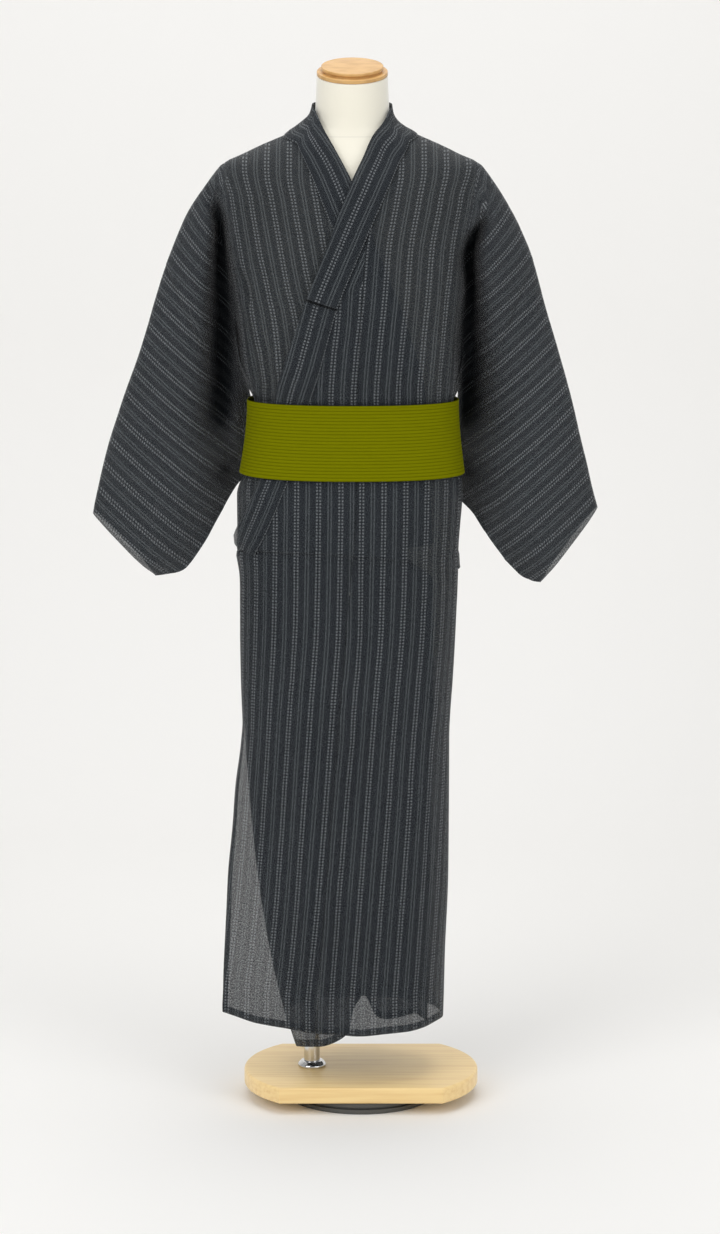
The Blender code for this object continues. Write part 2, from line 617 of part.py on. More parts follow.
def arm_ring(arm, reach, rows):
    """One ring of the arm's cloth, in the order of the armhole's loop."""
    fold = np.array([curve(arm, "fold_x", reach), 0.0, curve(arm, "fold_height", reach)])
    bag = np.array([curve(arm, c, reach) for c in ("bag_x", "bag_y", "bag_height")])
    depth = curve(arm, "depth", reach)
    over = blend_angles(-ARM_END_ANGLE, ARM_END_ANGLE, SIDE_COLUMNS)
    down = blend_angles(ARM_END_ANGLE, pi - ARM_END_ANGLE, rows)
    under = blend_angles(pi - ARM_END_ANGLE, pi + ARM_END_ANGLE, SIDE_COLUMNS)
    up = blend_angles(pi + ARM_END_ANGLE, 2 * pi - ARM_END_ANGLE, rows)
    ring = []
    for turn in over + down[1:] + under[1:] + up[1:-1]:
        share = (1 - power(cos(turn), 2 / ARM_SQUARE)) / 2
        place = fold + (bag - fold) * share
        flatness = 2 / ARM_SQUARE + BAG_FLATNESS * share**3
        place[1] = bag[1] * share**2 + depth * power(sin(turn), flatness)
        ring.append(place)
    return ring


def ring_faces(first, second):
    """Faces between two closed loops of point numbers."""
    return [
        (first[i], second[i], second[(i + 1) % len(first)], first[(i + 1) % len(first)])
        for i in range(len(first))
    ]


def wing(points, loop, arm, sleeve_seam, rows):
    """The cloth between the armhole's line and the sleeve seam, and a ring just past it."""
    new, faces, last = [], [], loop
    for ring in range(1, WING_RINGS + 2):
        share = ring / WING_RINGS
        weight = smooth(share / WING_BLEND)
        reach = sleeve_seam * share if share <= 1 else sleeve_seam + EDGE_LOOK
        target = arm_ring(arm, reach, rows)
        numbers = [len(points) + len(new) + i for i in range(len(loop))]
        new += [points[n] * (1 - weight) + p * weight for n, p in zip(loop, target)]
        faces.append(ring_faces(last, numbers))
        last = numbers
    return new, sum(faces[:-1], []), faces[-1]


def sleeve(side, arm, sleeve_seam):
    """The sleeve's bag as a wall, open at the seam and at the cuff."""
    rows = CHEST_ROWS.index(ARMHOLE_BOTTOM) - CHEST_ROWS.index(ARMHOLE_TOP)
    cuff = float(arm["reach"][-1])
    reaches = [sleeve_seam - EDGE_LOOK]
    reaches += [sleeve_seam + (cuff - sleeve_seam) * i / SLEEVE_RINGS for i in range(SLEEVE_RINGS + 1)]
    rings = [arm_ring(arm, reach, rows) for reach in reaches]
    for i, place in enumerate(rings[1]):
        ahead = rings[2][i] - place
        rings[1][i] = place + ahead / np.linalg.norm(ahead) * SLEEVE_GAP
    count = len(rings[0])
    numbers = [list(range(i * count, (i + 1) * count)) for i in range(len(rings))]
    faces = [facing(ring_faces(a, b), side) for a, b in zip(numbers, numbers[1:])]
    return wall_mesh(np.array(sum(rings, [])), sum(faces[1:], []), beyond=faces[0])


def okumi(side, edge, seam, surface, hem, under=()):
    """The front's overlap panel, from its seam to its free edge or to under the collar."""
    points, raised, rows = [], [], 0
    for height_of, out in row_heights(hem):
        level = height_of(0.0, 0.0)
        if level > OKUMI_TOP:
            continue
        start = angle_at(curve(seam, "x", level) - side * SEAM_GAP / 2, level)
        for angle in blend_angles(start, edge(level), OKUMI_COLUMNS):
            x = on_section(TRUNK, level, angle)[0]
            points.append(surface(height_of(x, angle), angle))
            raised.append(out)
        rows += 1
    faces = facing(sheet_faces(rows, OKUMI_COLUMNS + 1), -side)
    return wall_mesh(settle(points, faces, under), faces, raised=raised)


def left_okumi_edge(height):
    end = LEFT_LEG[-1][3]
    if height > end:
        return angle_at(leg_edge(LEFT_LEG, height, -1), height)
    return FLAP_EDGE


def right_okumi_edge(height):
    if height > RIGHT_LEG[-1][3]:
        return angle_at(leg_edge(RIGHT_LEG, height, 1), height)
    return angle_at(curve(RIGHT_OKUMI_EDGE, "x", height), height)


# ---- collar -------------------------------------------------------------------------------

def leg_rows(leg, side, surface):
    """A leg's rows as angles and heights of both edges, from the neck's side down."""
    rows = []
    for inner_x, inner_height, outer_x, outer_height in leg:
        inner, outer = angle_at(inner_x, inner_height), angle_at(outer_x, outer_height)
        if inner_height == NECK_SIDE_HEIGHT:
            inner = outer = side * pi / 2
        rows.append((inner, inner_height, outer, outer_height, surface))
    return rows


def neck_rows():
    """The rows round the back of the neck, from the wearer's left side to the right."""
    rows = []
    for i in range(1, NECK_BAND_STEPS):
        share = i / NECK_BAND_STEPS
        angle = pi / 2 + pi * share
        lift = sin(pi * share)
        top = NECK_SIDE_HEIGHT + (NECK_BAND_TOP - NECK_SIDE_HEIGHT) * lift
        side_bottom = LEFT_LEG[0][3] + (RIGHT_LEG[0][3] - LEFT_LEG[0][3]) * share
        bottom = side_bottom + (NECK_BAND_BOTTOM - side_bottom) * lift
        rows.append((angle, top, angle, bottom, trunk))
    return rows


def band_points(path):
    """Points across the band at each row of its path, one layer out."""
    points = []
    for inner, inner_height, outer, outer_height, surface in path:
        for i in range(COLLAR_COLUMNS + 1):
            share = i / COLLAR_COLUMNS
            height = inner_height + (outer_height - inner_height) * share
            points.append(surface(height, inner + (outer - inner) * share, PLY))
    return points


def band_faces(rows):
    return facing(sheet_faces(rows, COLLAR_COLUMNS + 1), -1)


def right_leg(under):
    """The right leg's points, which lie on the right panels and under the left ones."""
    path = leg_rows(RIGHT_LEG, -1, trunk)
    return settle(band_points(path), band_faces(len(path)), under)


def over_band(points, faces):
    """The points of a band that lies on another: its own points, moved out."""
    return points + vertex_normals(points, faces) * PLY


def collar(right, under):
    """The collar down one leg, round the neck and down the other, and the over-collar on it."""
    path = leg_rows(LEFT_LEG, 1, outer_front)[::-1] + neck_rows()
    upper = settle(band_points(path), band_faces(len(path)), under, gap=LAYER_GAP * 2)
    points = np.concatenate([upper, right])
    columns = COLLAR_COLUMNS + 1
    faces = band_faces(len(points) // columns)
    first = (len(LEFT_LEG) - OVER_COLLAR_ROWS) * columns
    last = (len(path) + OVER_COLLAR_ROWS - 1) * columns
    covered = [face for face in faces if min(face) >= first and max(face) < last]
    return wall_mesh(points, faces), wall_mesh(over_band(points, faces), covered)


# ---- obi ----------------------------------------------------------------------------------

def obi_out(angle):
    """The obi lies over six layers of cloth at the front and over one at the back."""
    forward = smooth((OBI_SIDE - abs(angle)) / LIFT_TURN)
    return PLY * (OBI_LAYERS_BACK + (OBI_LAYERS_FRONT - OBI_LAYERS_BACK) * forward)


def obi(under):
    """A ribbed belt, wound once and lapped at the back; its inside is plain."""
    start, end = -pi - OBI_END, pi - OBI_END + OBI_LAP / WAIST_RADIUS
    steps, levels = OBI_STEPS, OBI_LEVELS
    step_out = OBI_THICK + OBI_RIB_HEIGHT + LAYER_GAP * 2
    sheet = []
    for angle in blend_angles(start, end, steps):
        turn = (angle + pi) % (2 * pi) - pi
        over = smooth((angle - pi + OBI_CLIMB) / OBI_CLIMB_RUN) * step_out
        for level in range(levels + 1):
            height = OBI_BOTTOM + (OBI_TOP - OBI_BOTTOM) * level / levels
            sheet.append(trunk(height, turn, obi_out(turn) + over))
    inner_faces = sheet_faces(steps + 1, levels + 1)
    inner = settle(sheet, inner_faces, under, look=0.005)
    normals = vertex_normals(inner, inner_faces)
    rows = 2 * OBI_RIBS
    outer = []
    for i in range(steps + 1):
        for row in range(rows + 1):
            place = row * levels / rows
            low = min(int(place), levels - 1)
            a, share = i * (levels + 1) + low, place - low
            rib = OBI_RIB_HEIGHT if row % 2 else 0.0
            middle = inner[a] * (1 - share) + inner[a + 1] * share
            out = normals[a] * (1 - share) + normals[a + 1] * share
            outer.append(middle + out * (OBI_THICK + rib))
    first = len(inner)
    outer_faces = [tuple(n + first for n in face) for face in sheet_faces(steps + 1, rows + 1)]
    faces = inner_faces + outer_faces
    width, count = levels + 1, rows + 1
    for i in range(steps):
        a, b = i * width, first + i * count
        faces.append((a, a + width, b + count, b))
        faces.append((a + levels, b + rows, b + count + rows, a + width + levels))
    for i in (0, steps):
        near = [i * width + level for level in range(width)]
        far = [first + i * count + row for row in range(count)]
        faces.append(tuple(near + far[::-1]))
    return solid_from("obi", np.concatenate([inner, np.array(outer)]), faces, OBI_WEAVE)


# ---- dress form and stand -----------------------------------------------------------------

def dress_form():
    """A smooth limbless torso and neck; the neck's flat top leans to the front."""
    heights = [FORM_BOTTOM, 0.73, 0.82, 0.90, 0.98, 1.035, 1.09, 1.13, 1.17, 1.24, 1.31]
    heights += [1.37, 1.405, 1.43, 1.4435, 1.458, 1.473, 1.487, 1.498, 1.508, NECK_START]
    around = FORM_COLUMNS
    points, faces = [], []
    for height in heights:
        points += [on_section(FORM, height, 2 * pi * i / around) for i in range(around)]
    for lean in (0.5, 1.0):
        for i in range(around):
            x, y, _ = on_section(FORM, NECK_START, 2 * pi * i / around)
            x = NECK_X + (x - NECK_X) * (1 - NECK_TAPER * lean)
            y *= 1 - NECK_TAPER * lean
            tilt = math.tan(NECK_TILT) * y * lean
            rise = (NECK_TOP - REST_GAP - NECK_START) * lean
            points.append(np.array([x, y, NECK_START + rise + tilt]))
    rings = len(heights) + 2
    for ring in range(rings - 1):
        first = [ring * around + i for i in range(around)]
        second = [number + around for number in first]
        faces += ring_faces(first, second)
    faces.append(tuple(range(around)))
    faces.append(tuple(range((rings - 1) * around, rings * around)))
    return solid_from("dress_form", points, faces, FORM_COVER)


def turned(name, profile, place, finish, steps, tilt=0.0):
    """A turned piece: its profile runs down the outer side and is spun round Z."""
    mesh = bpy.data.meshes.new(name)
    edges = [(i, i + 1) for i in range(len(profile) - 1)]
    mesh.from_pydata([(radius, 0.0, height) for radius, height in profile], edges, [])
    obj = bpy.data.objects.new(name, mesh)
    obj.location = place
    obj.rotation_euler = (tilt, 0.0, 0.0)
    screw = obj.modifiers.new("turn", "SCREW")
    screw.steps = screw.render_steps = steps
    screw.use_merge_vertices = True
    screw.merge_threshold = 0.00005
    return link(obj, finish)


def neck_cap():
    """Two turned wooden discs on the neck, the upper one smaller."""
    ease = 0.0018
    low, high = CAP_RADIUS, CAP_UPPER_RADIUS
    middle, top = CAP_DISC, 2 * CAP_DISC
    profile = [(0.0, top), (high - 2 * ease, top), (high - 0.4 * ease, top - 0.5 * ease)]
    profile += [(high, top - 1.8 * ease), (high, middle + ease), (high - 0.4 * ease, middle)]
    profile += [(low - 1.4 * ease, middle), (low - 0.3 * ease, middle - 0.6 * ease)]
    profile += [(low, middle - 1.6 * ease), (low - 0.2 * ease, 0.6 * ease), (low - ease, 0.0)]
    profile += [(0.0, 0.0)]
    return turned("neck_cap", profile, (NECK_X, 0.0, NECK_TOP), CAP_WOOD, TURNED_STEPS, NECK_TILT)


def foot_disc():
    """The round foot under the board, with a groove between its two rims."""
    lip, groove = 0.0020, 0.0045
    top = FOOT_HEIGHT
    upper, lower = top * 0.62, top * 0.38  # the groove's mouth
    profile = [(0.0, top), (FOOT_RADIUS - lip, top), (FOOT_RADIUS, top - lip)]
    profile += [(FOOT_RADIUS, upper), (FOOT_RADIUS - groove, top * 0.56)]
    profile += [(FOOT_RADIUS - groove, top * 0.44), (FOOT_RADIUS, lower)]
    profile += [(FOOT_RADIUS, lip), (FOOT_RADIUS - lip, 0.0), (0.0, 0.0)]
    return turned("foot_disc", profile, (0.0, 0.0, 0.0), FOOT_PLASTIC, 36)


def base_board():
    """A board with straight front and back edges and rounded ends."""
    half_depth, straight = BOARD_DEPTH / 2, BOARD_STRAIGHT / 2
    rise = BOARD_WIDTH / 2 - straight
    radius = (half_depth**2 + rise**2) / (2 * rise)
    centre, sweep = BOARD_WIDTH / 2 - radius, math.asin(half_depth / radius)
    arc = blend_angles(-sweep, sweep, BOARD_ARC_STEPS)
    outline = [(centre + radius * cos(a), radius * sin(a)) for a in arc]
    outline += [(-x, -y) for x, y in outline]
    mesh = bpy.data.meshes.new("base_board")
    shape = bmesh.new()
    face = shape.faces.new([shape.verts.new((x, y, BOARD_BOTTOM)) for x, y in outline])
    raised = bmesh.ops.extrude_face_region(shape, geom=[face])["geom"]
    lifted = [v for v in raised if isinstance(v, bmesh.types.BMVert)]
    bmesh.ops.translate(shape, verts=lifted, vec=(0.0, 0.0, BOARD_THICK))
    bmesh.ops.recalc_face_normals(shape, faces=shape.faces)
    shape.to_mesh(mesh)
    shape.free()
    obj = bpy.data.objects.new("base_board", mesh)
    bevel = obj.modifiers.new("eased edges", "BEVEL")
    bevel.width, bevel.segments = BOARD_EASE, 2
    bevel.limit_method, bevel.angle_limit = "ANGLE", radians(50)
    return link(obj, BOARD_WOOD)


def flange():
    """The turned foot of the pole."""
    edge, shoulder, lip = FLANGE_HEIGHT, 0.004, 0.002
    profile = [(0.0, edge), (POLE_RADIUS + shoulder, edge), (FLANGE_RADIUS - lip, edge * 0.62)]
    profile += [(FLANGE_RADIUS, edge / 2), (FLANGE_RADIUS, 0.0), (0.0, 0.0)]
    return turned("pole_flange", profile, (POLE_X, 0.0, FLANGE_BOTTOM), CHROME, TURNED_STEPS)


def pole():
    bottom, top = FLANGE_BOTTOM + FLANGE_HEIGHT + REST_GAP, FORM_BOTTOM - REST_GAP
    mesh = bpy.data.meshes.new("stand_pole")
    shape = bmesh.new()
    bmesh.ops.create_cone(shape, cap_ends=True, segments=24, radius1=POLE_RADIUS,
                          radius2=POLE_RADIUS, depth=top - bottom)
    shape.to_mesh(mesh)
    shape.free()
    mesh.shade_smooth()
    mesh.set_sharp_from_angle(angle=radians(40))
    obj = bpy.data.objects.new("stand_pole", mesh)
    obj.location = (POLE_X, 0.0, (bottom + top) / 2)
    return link(obj, CHROME)


# ---- the whole ----------------------------------------------------------------------------

for old in list(bpy.data.objects):
    bpy.data.objects.remove(old)
PARTS = bpy.data.collections.new("yukata_on_dress_form")
bpy.context.scene.collection.children.link(PARTS)

COTTON = material("striped cotton", INK, 0.85)
OBI_WEAVE = material("ribbed obi weave", OLIVE, 0.55)
FORM_COVER = material("dress form cover", CREAM, 0.80)
CAP_WOOD = material("cap beech", PINE, 0.45)
BOARD_WOOD = material("board pine", PINE, 0.50)
CHROME = material("chromed steel", STEEL, 0.15, 1.0)
FOOT_PLASTIC = material("black foot plastic", BLACK, 0.50)

right_body = body_panel(-1, RIGHT_SEAM, RIGHT_LEG, RIGHT_ARM, RIGHT_SLEEVE_SEAM, trunk, under_hem)
right_overlap = okumi(-1, right_okumi_edge, RIGHT_SEAM, trunk, under_hem)
right_side = [tree_of(right_body), tree_of(right_overlap)]
right_band = right_leg(right_side)
right_faces = band_faces(len(RIGHT_LEG))
covered_rows = [f for f in right_faces if max(f) < OVER_COLLAR_ROWS * (COLLAR_COLUMNS + 1)]
right_side.append(tree_of(wall_mesh(right_band, right_faces)))
right_side.append(tree_of(wall_mesh(over_band(right_band, right_faces), covered_rows)))
left_body = body_panel(1, LEFT_SEAM, LEFT_LEG, LEFT_ARM, LEFT_SLEEVE_SEAM, outer_front,
                       outer_hem, right_side)
left_overlap = okumi(1, left_okumi_edge, LEFT_SEAM, outer_front, outer_hem, right_side)
panels = [tree_of(wall) for wall in (right_body, left_body, left_overlap)]
collar_wall, over_collar_wall = collar(right_band, panels)

cloth_wall("left_body_panel", left_body)
cloth_wall("right_body_panel", right_body)
cloth_wall("left_okumi", left_overlap)
cloth_wall("right_okumi", right_overlap)
cloth_wall("left_sleeve", sleeve(1, LEFT_ARM, LEFT_SLEEVE_SEAM))
cloth_wall("right_sleeve", sleeve(-1, RIGHT_ARM, RIGHT_SLEEVE_SEAM))
cloth_wall("collar", collar_wall)
cloth_wall("over_collar", over_collar_wall)
obi([*panels, tree_of(right_overlap), tree_of(collar_wall)])
dress_form()
neck_cap()
pole()
flange()
base_board()
foot_disc()
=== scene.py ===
"""Cotton yukata on a dress form: the cloth, the ribbed obi, the form and its stand.

The robe is made as thin cloth on one trunk surface, layer on layer, with its folds placed one
by one. Each panel is a sheet of points with its place on the flat cloth as its UV map, in metres,
U across the cloth and V along its length, so that the woven stripes run with the grain.
"""

from math import atan2, cos, pi, radians, sin, tan

import bmesh
import bpy
import numpy as np
from bpy.props import FloatProperty, IntProperty, PointerProperty, StringProperty
from mathutils import Matrix, Vector, noise
from mathutils.bvhtree import BVHTree


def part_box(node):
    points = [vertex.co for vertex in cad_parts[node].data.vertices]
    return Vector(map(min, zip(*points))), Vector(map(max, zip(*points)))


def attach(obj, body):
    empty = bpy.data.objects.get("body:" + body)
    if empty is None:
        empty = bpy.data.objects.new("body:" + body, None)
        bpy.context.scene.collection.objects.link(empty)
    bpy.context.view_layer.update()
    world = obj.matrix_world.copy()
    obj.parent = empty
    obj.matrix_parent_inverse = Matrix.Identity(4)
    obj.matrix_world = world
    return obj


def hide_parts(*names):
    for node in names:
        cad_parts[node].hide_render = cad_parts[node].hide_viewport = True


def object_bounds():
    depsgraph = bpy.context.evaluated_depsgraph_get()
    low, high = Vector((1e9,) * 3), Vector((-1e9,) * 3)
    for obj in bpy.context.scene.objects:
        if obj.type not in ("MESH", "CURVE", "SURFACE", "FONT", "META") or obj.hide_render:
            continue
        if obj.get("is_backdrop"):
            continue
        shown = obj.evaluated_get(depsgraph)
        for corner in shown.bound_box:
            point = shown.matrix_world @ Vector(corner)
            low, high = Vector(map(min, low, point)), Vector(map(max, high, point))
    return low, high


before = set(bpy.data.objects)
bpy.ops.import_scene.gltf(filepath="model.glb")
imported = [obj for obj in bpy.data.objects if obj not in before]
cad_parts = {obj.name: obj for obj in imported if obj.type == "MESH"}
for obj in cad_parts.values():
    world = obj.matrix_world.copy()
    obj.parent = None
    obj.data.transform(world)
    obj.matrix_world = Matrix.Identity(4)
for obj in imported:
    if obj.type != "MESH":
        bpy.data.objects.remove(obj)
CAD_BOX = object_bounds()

bl_info = {
    "name": "Cotton yukata on a dress form",
    "version": (1, 0, 0),
    "blender": (4, 5, 0),
    "location": "3D View > Sidebar > Yukata",
    "description": "Sews a striped cotton yukata with a ribbed obi and dresses a form with it",
    "category": "Object",
}


# ---- sizes shared with the model, in metres -------------------------------------------------

PLY = 0.0016  # from one layer of cloth to the next
SEAM_GAP = 0.0004  # between two panels that are sewn together
UNDERLAP = 0.008  # how far a panel runs under the collar that is sewn on it
FORM_GAP = 0.003  # the least from the form to the cloth

FORM_BOTTOM, SHOULDER_TOP = 0.700, 1.42  # the form's coarse rings lie between these
FORM_AROUND, FORM_ROWS, NECK_ROWS, TOP_ROWS = 96, 60, 34, 15  # its mesh, round and up
FORM_STEP, CAP_GAP = 0.005, 0.0003  # between its two sets of rings; under its cap
NECK_START, NECK_TOP, NECK_CENTRE = 1.525, 1.5780, -0.0130
NECK_TILT = radians(13)
NECK_TAPER = 0.036  # how much narrower the neck is at its top
JERSEY_SEAM = 1.4894  # the cover's seam round the base of the neck
CAP_RADIUS, CAP_UPPER_RADIUS, CAP_DISC, CAP_GROOVE = 0.053, 0.0465, 0.0070, 0.0035
POLE_RADIUS, FLANGE_RADIUS = 0.0125, 0.022
BOARD_WIDTH, BOARD_DEPTH, BOARD_THICK = 0.364, 0.240, 0.0256
BOARD_STRAIGHT, BOARD_BOTTOM, BOARD_EASE = 0.252, 0.0175, 0.0042
FOOT_RADIUS, FOOT_HEIGHT, FOOT_GROOVE = 0.1175, 0.0172, 0.0045
PAPER_FRONT, PAPER_BEND, PAPER_SIDE, PAPER_TOP = -4.0, 1.6, 6.0, 5.0
BEND_RADIUS, BEND_STEPS = 0.9, 25

OBI_BOTTOM, OBI_TOP = 0.9785, 1.0940
OBI_LAP = 0.060  # the far end of the obi lies over its start at the back
OBI_END, OBI_RADIUS = 0.2, 0.17  # the near end's angle past the centre back; the waist's radius
OBI_CLIMB, OBI_CLIMB_RUN, OBI_OVER = 0.65, 0.35, 0.0046  # where the far end climbs, and how far
OBI_LAYERS_BACK, OBI_LAYERS_SIDE = 1.4, 4.6  # plies it clears at the back; how many more in front
OBI_SIDE, OBI_SIDE_RUN = radians(118), radians(40)
OBI_WALL, OBI_TURN = 0.0022, 0.14  # its thickness; metres of the flat belt for each radian
OBI_LENGTH, RIB_ROWS, OBI_STEPS = 1.02, 6, 240  # its flat length; mesh rows a rib; steps round

OKUMI_TOP = 1.3450  # the overlap panels' top rows lie under the collar
RIGHT_EDGE_FREE, LEFT_EDGE_FREE = 0.870, 0.862  # below these a front's edge is turned in
NECK_BAND_TOP, NECK_BAND_BOTTOM = 1.5380, 1.4800
ARMHOLE_TOP, ARMHOLE_BOTTOM = 1.4435, 1.1080
TOP_ROW, CREST_RISE = 1.4870, 0.0145
NEAR_CREST, CREST_RUN = 1.40, 0.045  # the stripes run straight over the shoulder above this
TUCK_BACK, BACK_HEM = 0.8500, 0.1260
FRONT_LAYERS = 3  # the left front lies this many plies out, over the right front
LIFT_TOP, LIFT_DROP = 1.465, 0.040  # where it starts to, and over what height
LIFT_ANGLE, LIFT_TURN = radians(110), radians(40)  # it lies on the inner layer again past this
FLAP_START, FLAP_EDGE, FLAP_FORWARD, FLAP_CURL = radians(-30), radians(-80), 0.35, 1.5
FOLD_FACE = 0.5  # folds fade where the surface turns this far from the front or back
FOLD_IN, FOLD_OUT = 0.25, 0.2  # the shares of a fold's length over which it starts and ends
RIGHT_SLEEVE_SEAM, LEFT_SLEEVE_SEAM, SLEEVE_GAP = 0.180, 0.155, 0.0006
ARM_SQUARE, ARM_END_ANGLE = 2.4, radians(38)
BAG_FLATNESS = 2.2  # how far a bag flattens towards its lower fold
WING_BLEND = 0.6  # the share of the wing over which the chest turns into the sleeve
CUFF_REACH = 0.040  # the length of sleeve over which its cuff's corner is rounded
CREASE_END, CREASE_RUN = 0.35, 0.22  # a crease's depth at its ends, and its share that fades
BODY_WAVES, SLEEVE_WAVES = 0.0007, 0.0016  # how far the slight waves stand out
WIDE_WAVES, FINE_WAVES = (16, 16, 6), (42, 42, 15)  # their noise's scales
WIDE_SHARE, FINE_SHARE = 1.3, 0.6  # and how much of each there is
TURN_FACE = 0.35  # creases fade where the cloth turns this far from the front or back
VALLEY_BACK = 0.35  # the back's share of a deep fold
HEM_DROP, HEM_ROWS, EDGE_COLUMNS = 0.0006, 5, 6  # how far in a hem lies; the mesh it covers
SETTLE_LOOK, OBI_LOOK = 0.014, 0.006  # how far from a sheet the layers under it are looked for
LEG_STEPS, NECK_STEPS = 5, 60  # mesh rows for each named row of the collar, and round the neck
LEFT_ROWS, RIGHT_ROWS = 22, 15  # the last named row of each leg


def table(columns, *rows):
    """Rows of numbers under named columns, sorted by the first column."""
    names, rows = columns.split(), sorted(rows)
    return {name: np.array([row[i] for row in rows], float) for i, name in enumerate(names)}


TRUNK = table(
    "height left right front back square",
    (1.5400, -0.0685, 0.0425, 0.0570, 0.0590, 2.00),
    (1.5190, -0.0745, 0.0460, 0.0600, 0.0620, 2.00),
    (1.5040, -0.0900, 0.0570, 0.0640, 0.0660, 2.05),
    (1.4890, -0.1125, 0.0830, 0.0690, 0.0710, 2.10),
    (1.4745, -0.1470, 0.1160, 0.0745, 0.0780, 2.15),
    (1.4590, -0.1790, 0.1490, 0.0800, 0.0850, 2.20),
    (1.4435, -0.2090, 0.1780, 0.0860, 0.0920, 2.25),
    (1.4000, -0.2180, 0.1830, 0.0990, 0.1030, 2.30),
    (1.3200, -0.2120, 0.1720, 0.1070, 0.1090, 2.35),
    (1.2400, -0.2030, 0.1640, 0.1090, 0.1100, 2.40),
    (1.1600, -0.1930, 0.1600, 0.1030, 0.1060, 2.40),
    (1.1080, -0.1690, 0.1440, 0.0870, 0.0900, 2.30),
    (1.0900, -0.1610, 0.1365, 0.0790, 0.0830, 2.30),
    (0.9800, -0.1735, 0.1460, 0.0790, 0.0840, 2.30),
    (0.9650, -0.1830, 0.1500, 0.0820, 0.0860, 2.30),
    (0.9450, -0.1880, 0.1505, 0.0860, 0.0880, 2.30),
    (0.9000, -0.1880, 0.1475, 0.0900, 0.0920, 2.30),
    (0.8650, -0.1860, 0.1455, 0.0920, 0.0940, 2.30),
    (0.8200, -0.1815, 0.1450, 0.0940, 0.0960, 2.30),
    (0.7550, -0.1815, 0.1425, 0.0960, 0.0980, 2.30),
    (0.6600, -0.1800, 0.1375, 0.0980, 0.0990, 2.30),
    (0.5630, -0.1770, 0.1325, 0.1000, 0.1000, 2.30),
    (0.3700, -0.1610, 0.1320, 0.1020, 0.1020, 2.30),
    (0.2350, -0.1420, 0.1275, 0.1030, 0.1030, 2.30),
    (0.0800, -0.1060, 0.1230, 0.1040, 0.1020, 2.30),
)
FORM = table(
    "height left right front back square",
    (1.5500, -0.0675, 0.0415, 0.0540, 0.0540, 2.00),
    (1.5200, -0.0685, 0.0425, 0.0550, 0.0550, 2.00),
    (1.5040, -0.0740, 0.0470, 0.0570, 0.0580, 2.00),
    (1.4890, -0.0980, 0.0700, 0.0610, 0.0630, 2.10),
    (1.4745, -0.1440, 0.1130, 0.0670, 0.0700, 2.15),
    (1.4590, -0.1765, 0.1465, 0.0740, 0.0780, 2.20),
    (1.4435, -0.2030, 0.1720, 0.0800, 0.0860, 2.25),
    (1.4250, -0.2060, 0.1745, 0.0860, 0.0920, 2.25),
    (1.3800, -0.1950, 0.1640, 0.0960, 0.0990, 2.30),
    (1.3200, -0.1860, 0.1550, 0.1010, 0.1030, 2.30),
    (1.2400, -0.1800, 0.1500, 0.1030, 0.1030, 2.30),
    (1.1600, -0.1720, 0.1440, 0.0950, 0.0970, 2.30),
    (1.0900, -0.1550, 0.1305, 0.0740, 0.0780, 2.30),
    (0.9800, -0.1660, 0.1390, 0.0740, 0.0790, 2.30),
    (0.9000, -0.1720, 0.1400, 0.0820, 0.0860, 2.30),
    (0.8200, -0.1690, 0.1370, 0.0860, 0.0900, 2.30),
    (0.7300, -0.1620, 0.1310, 0.0850, 0.0880, 2.30),
    (FORM_BOTTOM, -0.1520, 0.1220, 0.0780, 0.0810, 2.30),
)
OUTER_FOLDS = table(
    "top_x bottom_x top bottom width height face",
    (-0.0900, -0.0700, 0.84, -0.10, 0.018, 0.0030, 1),
    (-0.0440, -0.0300, 0.80, -0.10, 0.016, -0.0020, 1),
    (0.0110, -0.0420, 0.85, -0.10, 0.015, -0.0030, 1),
    (0.0400, -0.0060, 0.85, -0.10, 0.017, 0.0030, 1),
    (0.0950, 0.0650, 0.82, -0.10, 0.018, 0.0025, 1),
    (0.0950, 0.0850, 1.38, 1.13, 0.016, -0.0030, 1),
)
FOLDS = table(
    "top_x bottom_x top bottom width height face",
    (-0.1000, -0.0700, 0.86, -0.10, 0.018, 0.0040, -1),
    (-0.0450, -0.0300, 0.84, -0.10, 0.015, -0.0035, -1),
    (0.0300, 0.0200, 0.86, -0.10, 0.016, 0.0040, -1),
    (0.0850, 0.0700, 0.84, -0.10, 0.016, -0.0035, -1),
    (-0.1300, -0.1150, 1.42, 1.13, 0.016, -0.0035, 1),
    (-0.0900, -0.0600, 1.40, 1.12, 0.018, -0.0040, -1),
    (0.0600, 0.0400, 1.40, 1.12, 0.018, -0.0040, -1),
)
VALLEY = table(
    "height left right",
    (1.4435, -0.1970, 0.1660),
    (1.4000, -0.2050, 0.1640),
    (1.3200, -0.2010, 0.1480),
    (1.2400, -0.1930, 0.1420),
    (1.1600, -0.1830, 0.1480),
    (1.1080, -0.1600, 0.1340),
)
CHEST_ROWS = (1.4745, 1.4590, 1.4435, 1.4150, 1.3820, 1.3450, 1.3180, 1.2700, 1.2200, 1.1700)
CHEST_ROWS += (1.1350, 1.1080, 1.0900, 1.0350, 0.9800, 0.9600, 0.9350, 0.9050)
SKIRT_ROWS = (0.8000, 0.7300, 0.6400, 0.5400, 0.4400, 0.3400, 0.2400)
TUCK = table(
    "above out",
    (0.0150, 0.0), (0.0090, 0.0012), (0.0040, 0.0026), (0.0012, 0.0031), (0.0, 0.0026),
    (-0.0005, 0.0014), (-0.0008, 0.0),
)
TUCK_LINE = table("x height", (-0.19, 0.8700), (-0.09, 0.8710), (0.0, 0.8660), (0.07, 0.8560),
                  (0.115, 0.8420), (0.155, 0.8320))
LEG_COLUMNS = "row inner_x inner_height outer_x outer_height"
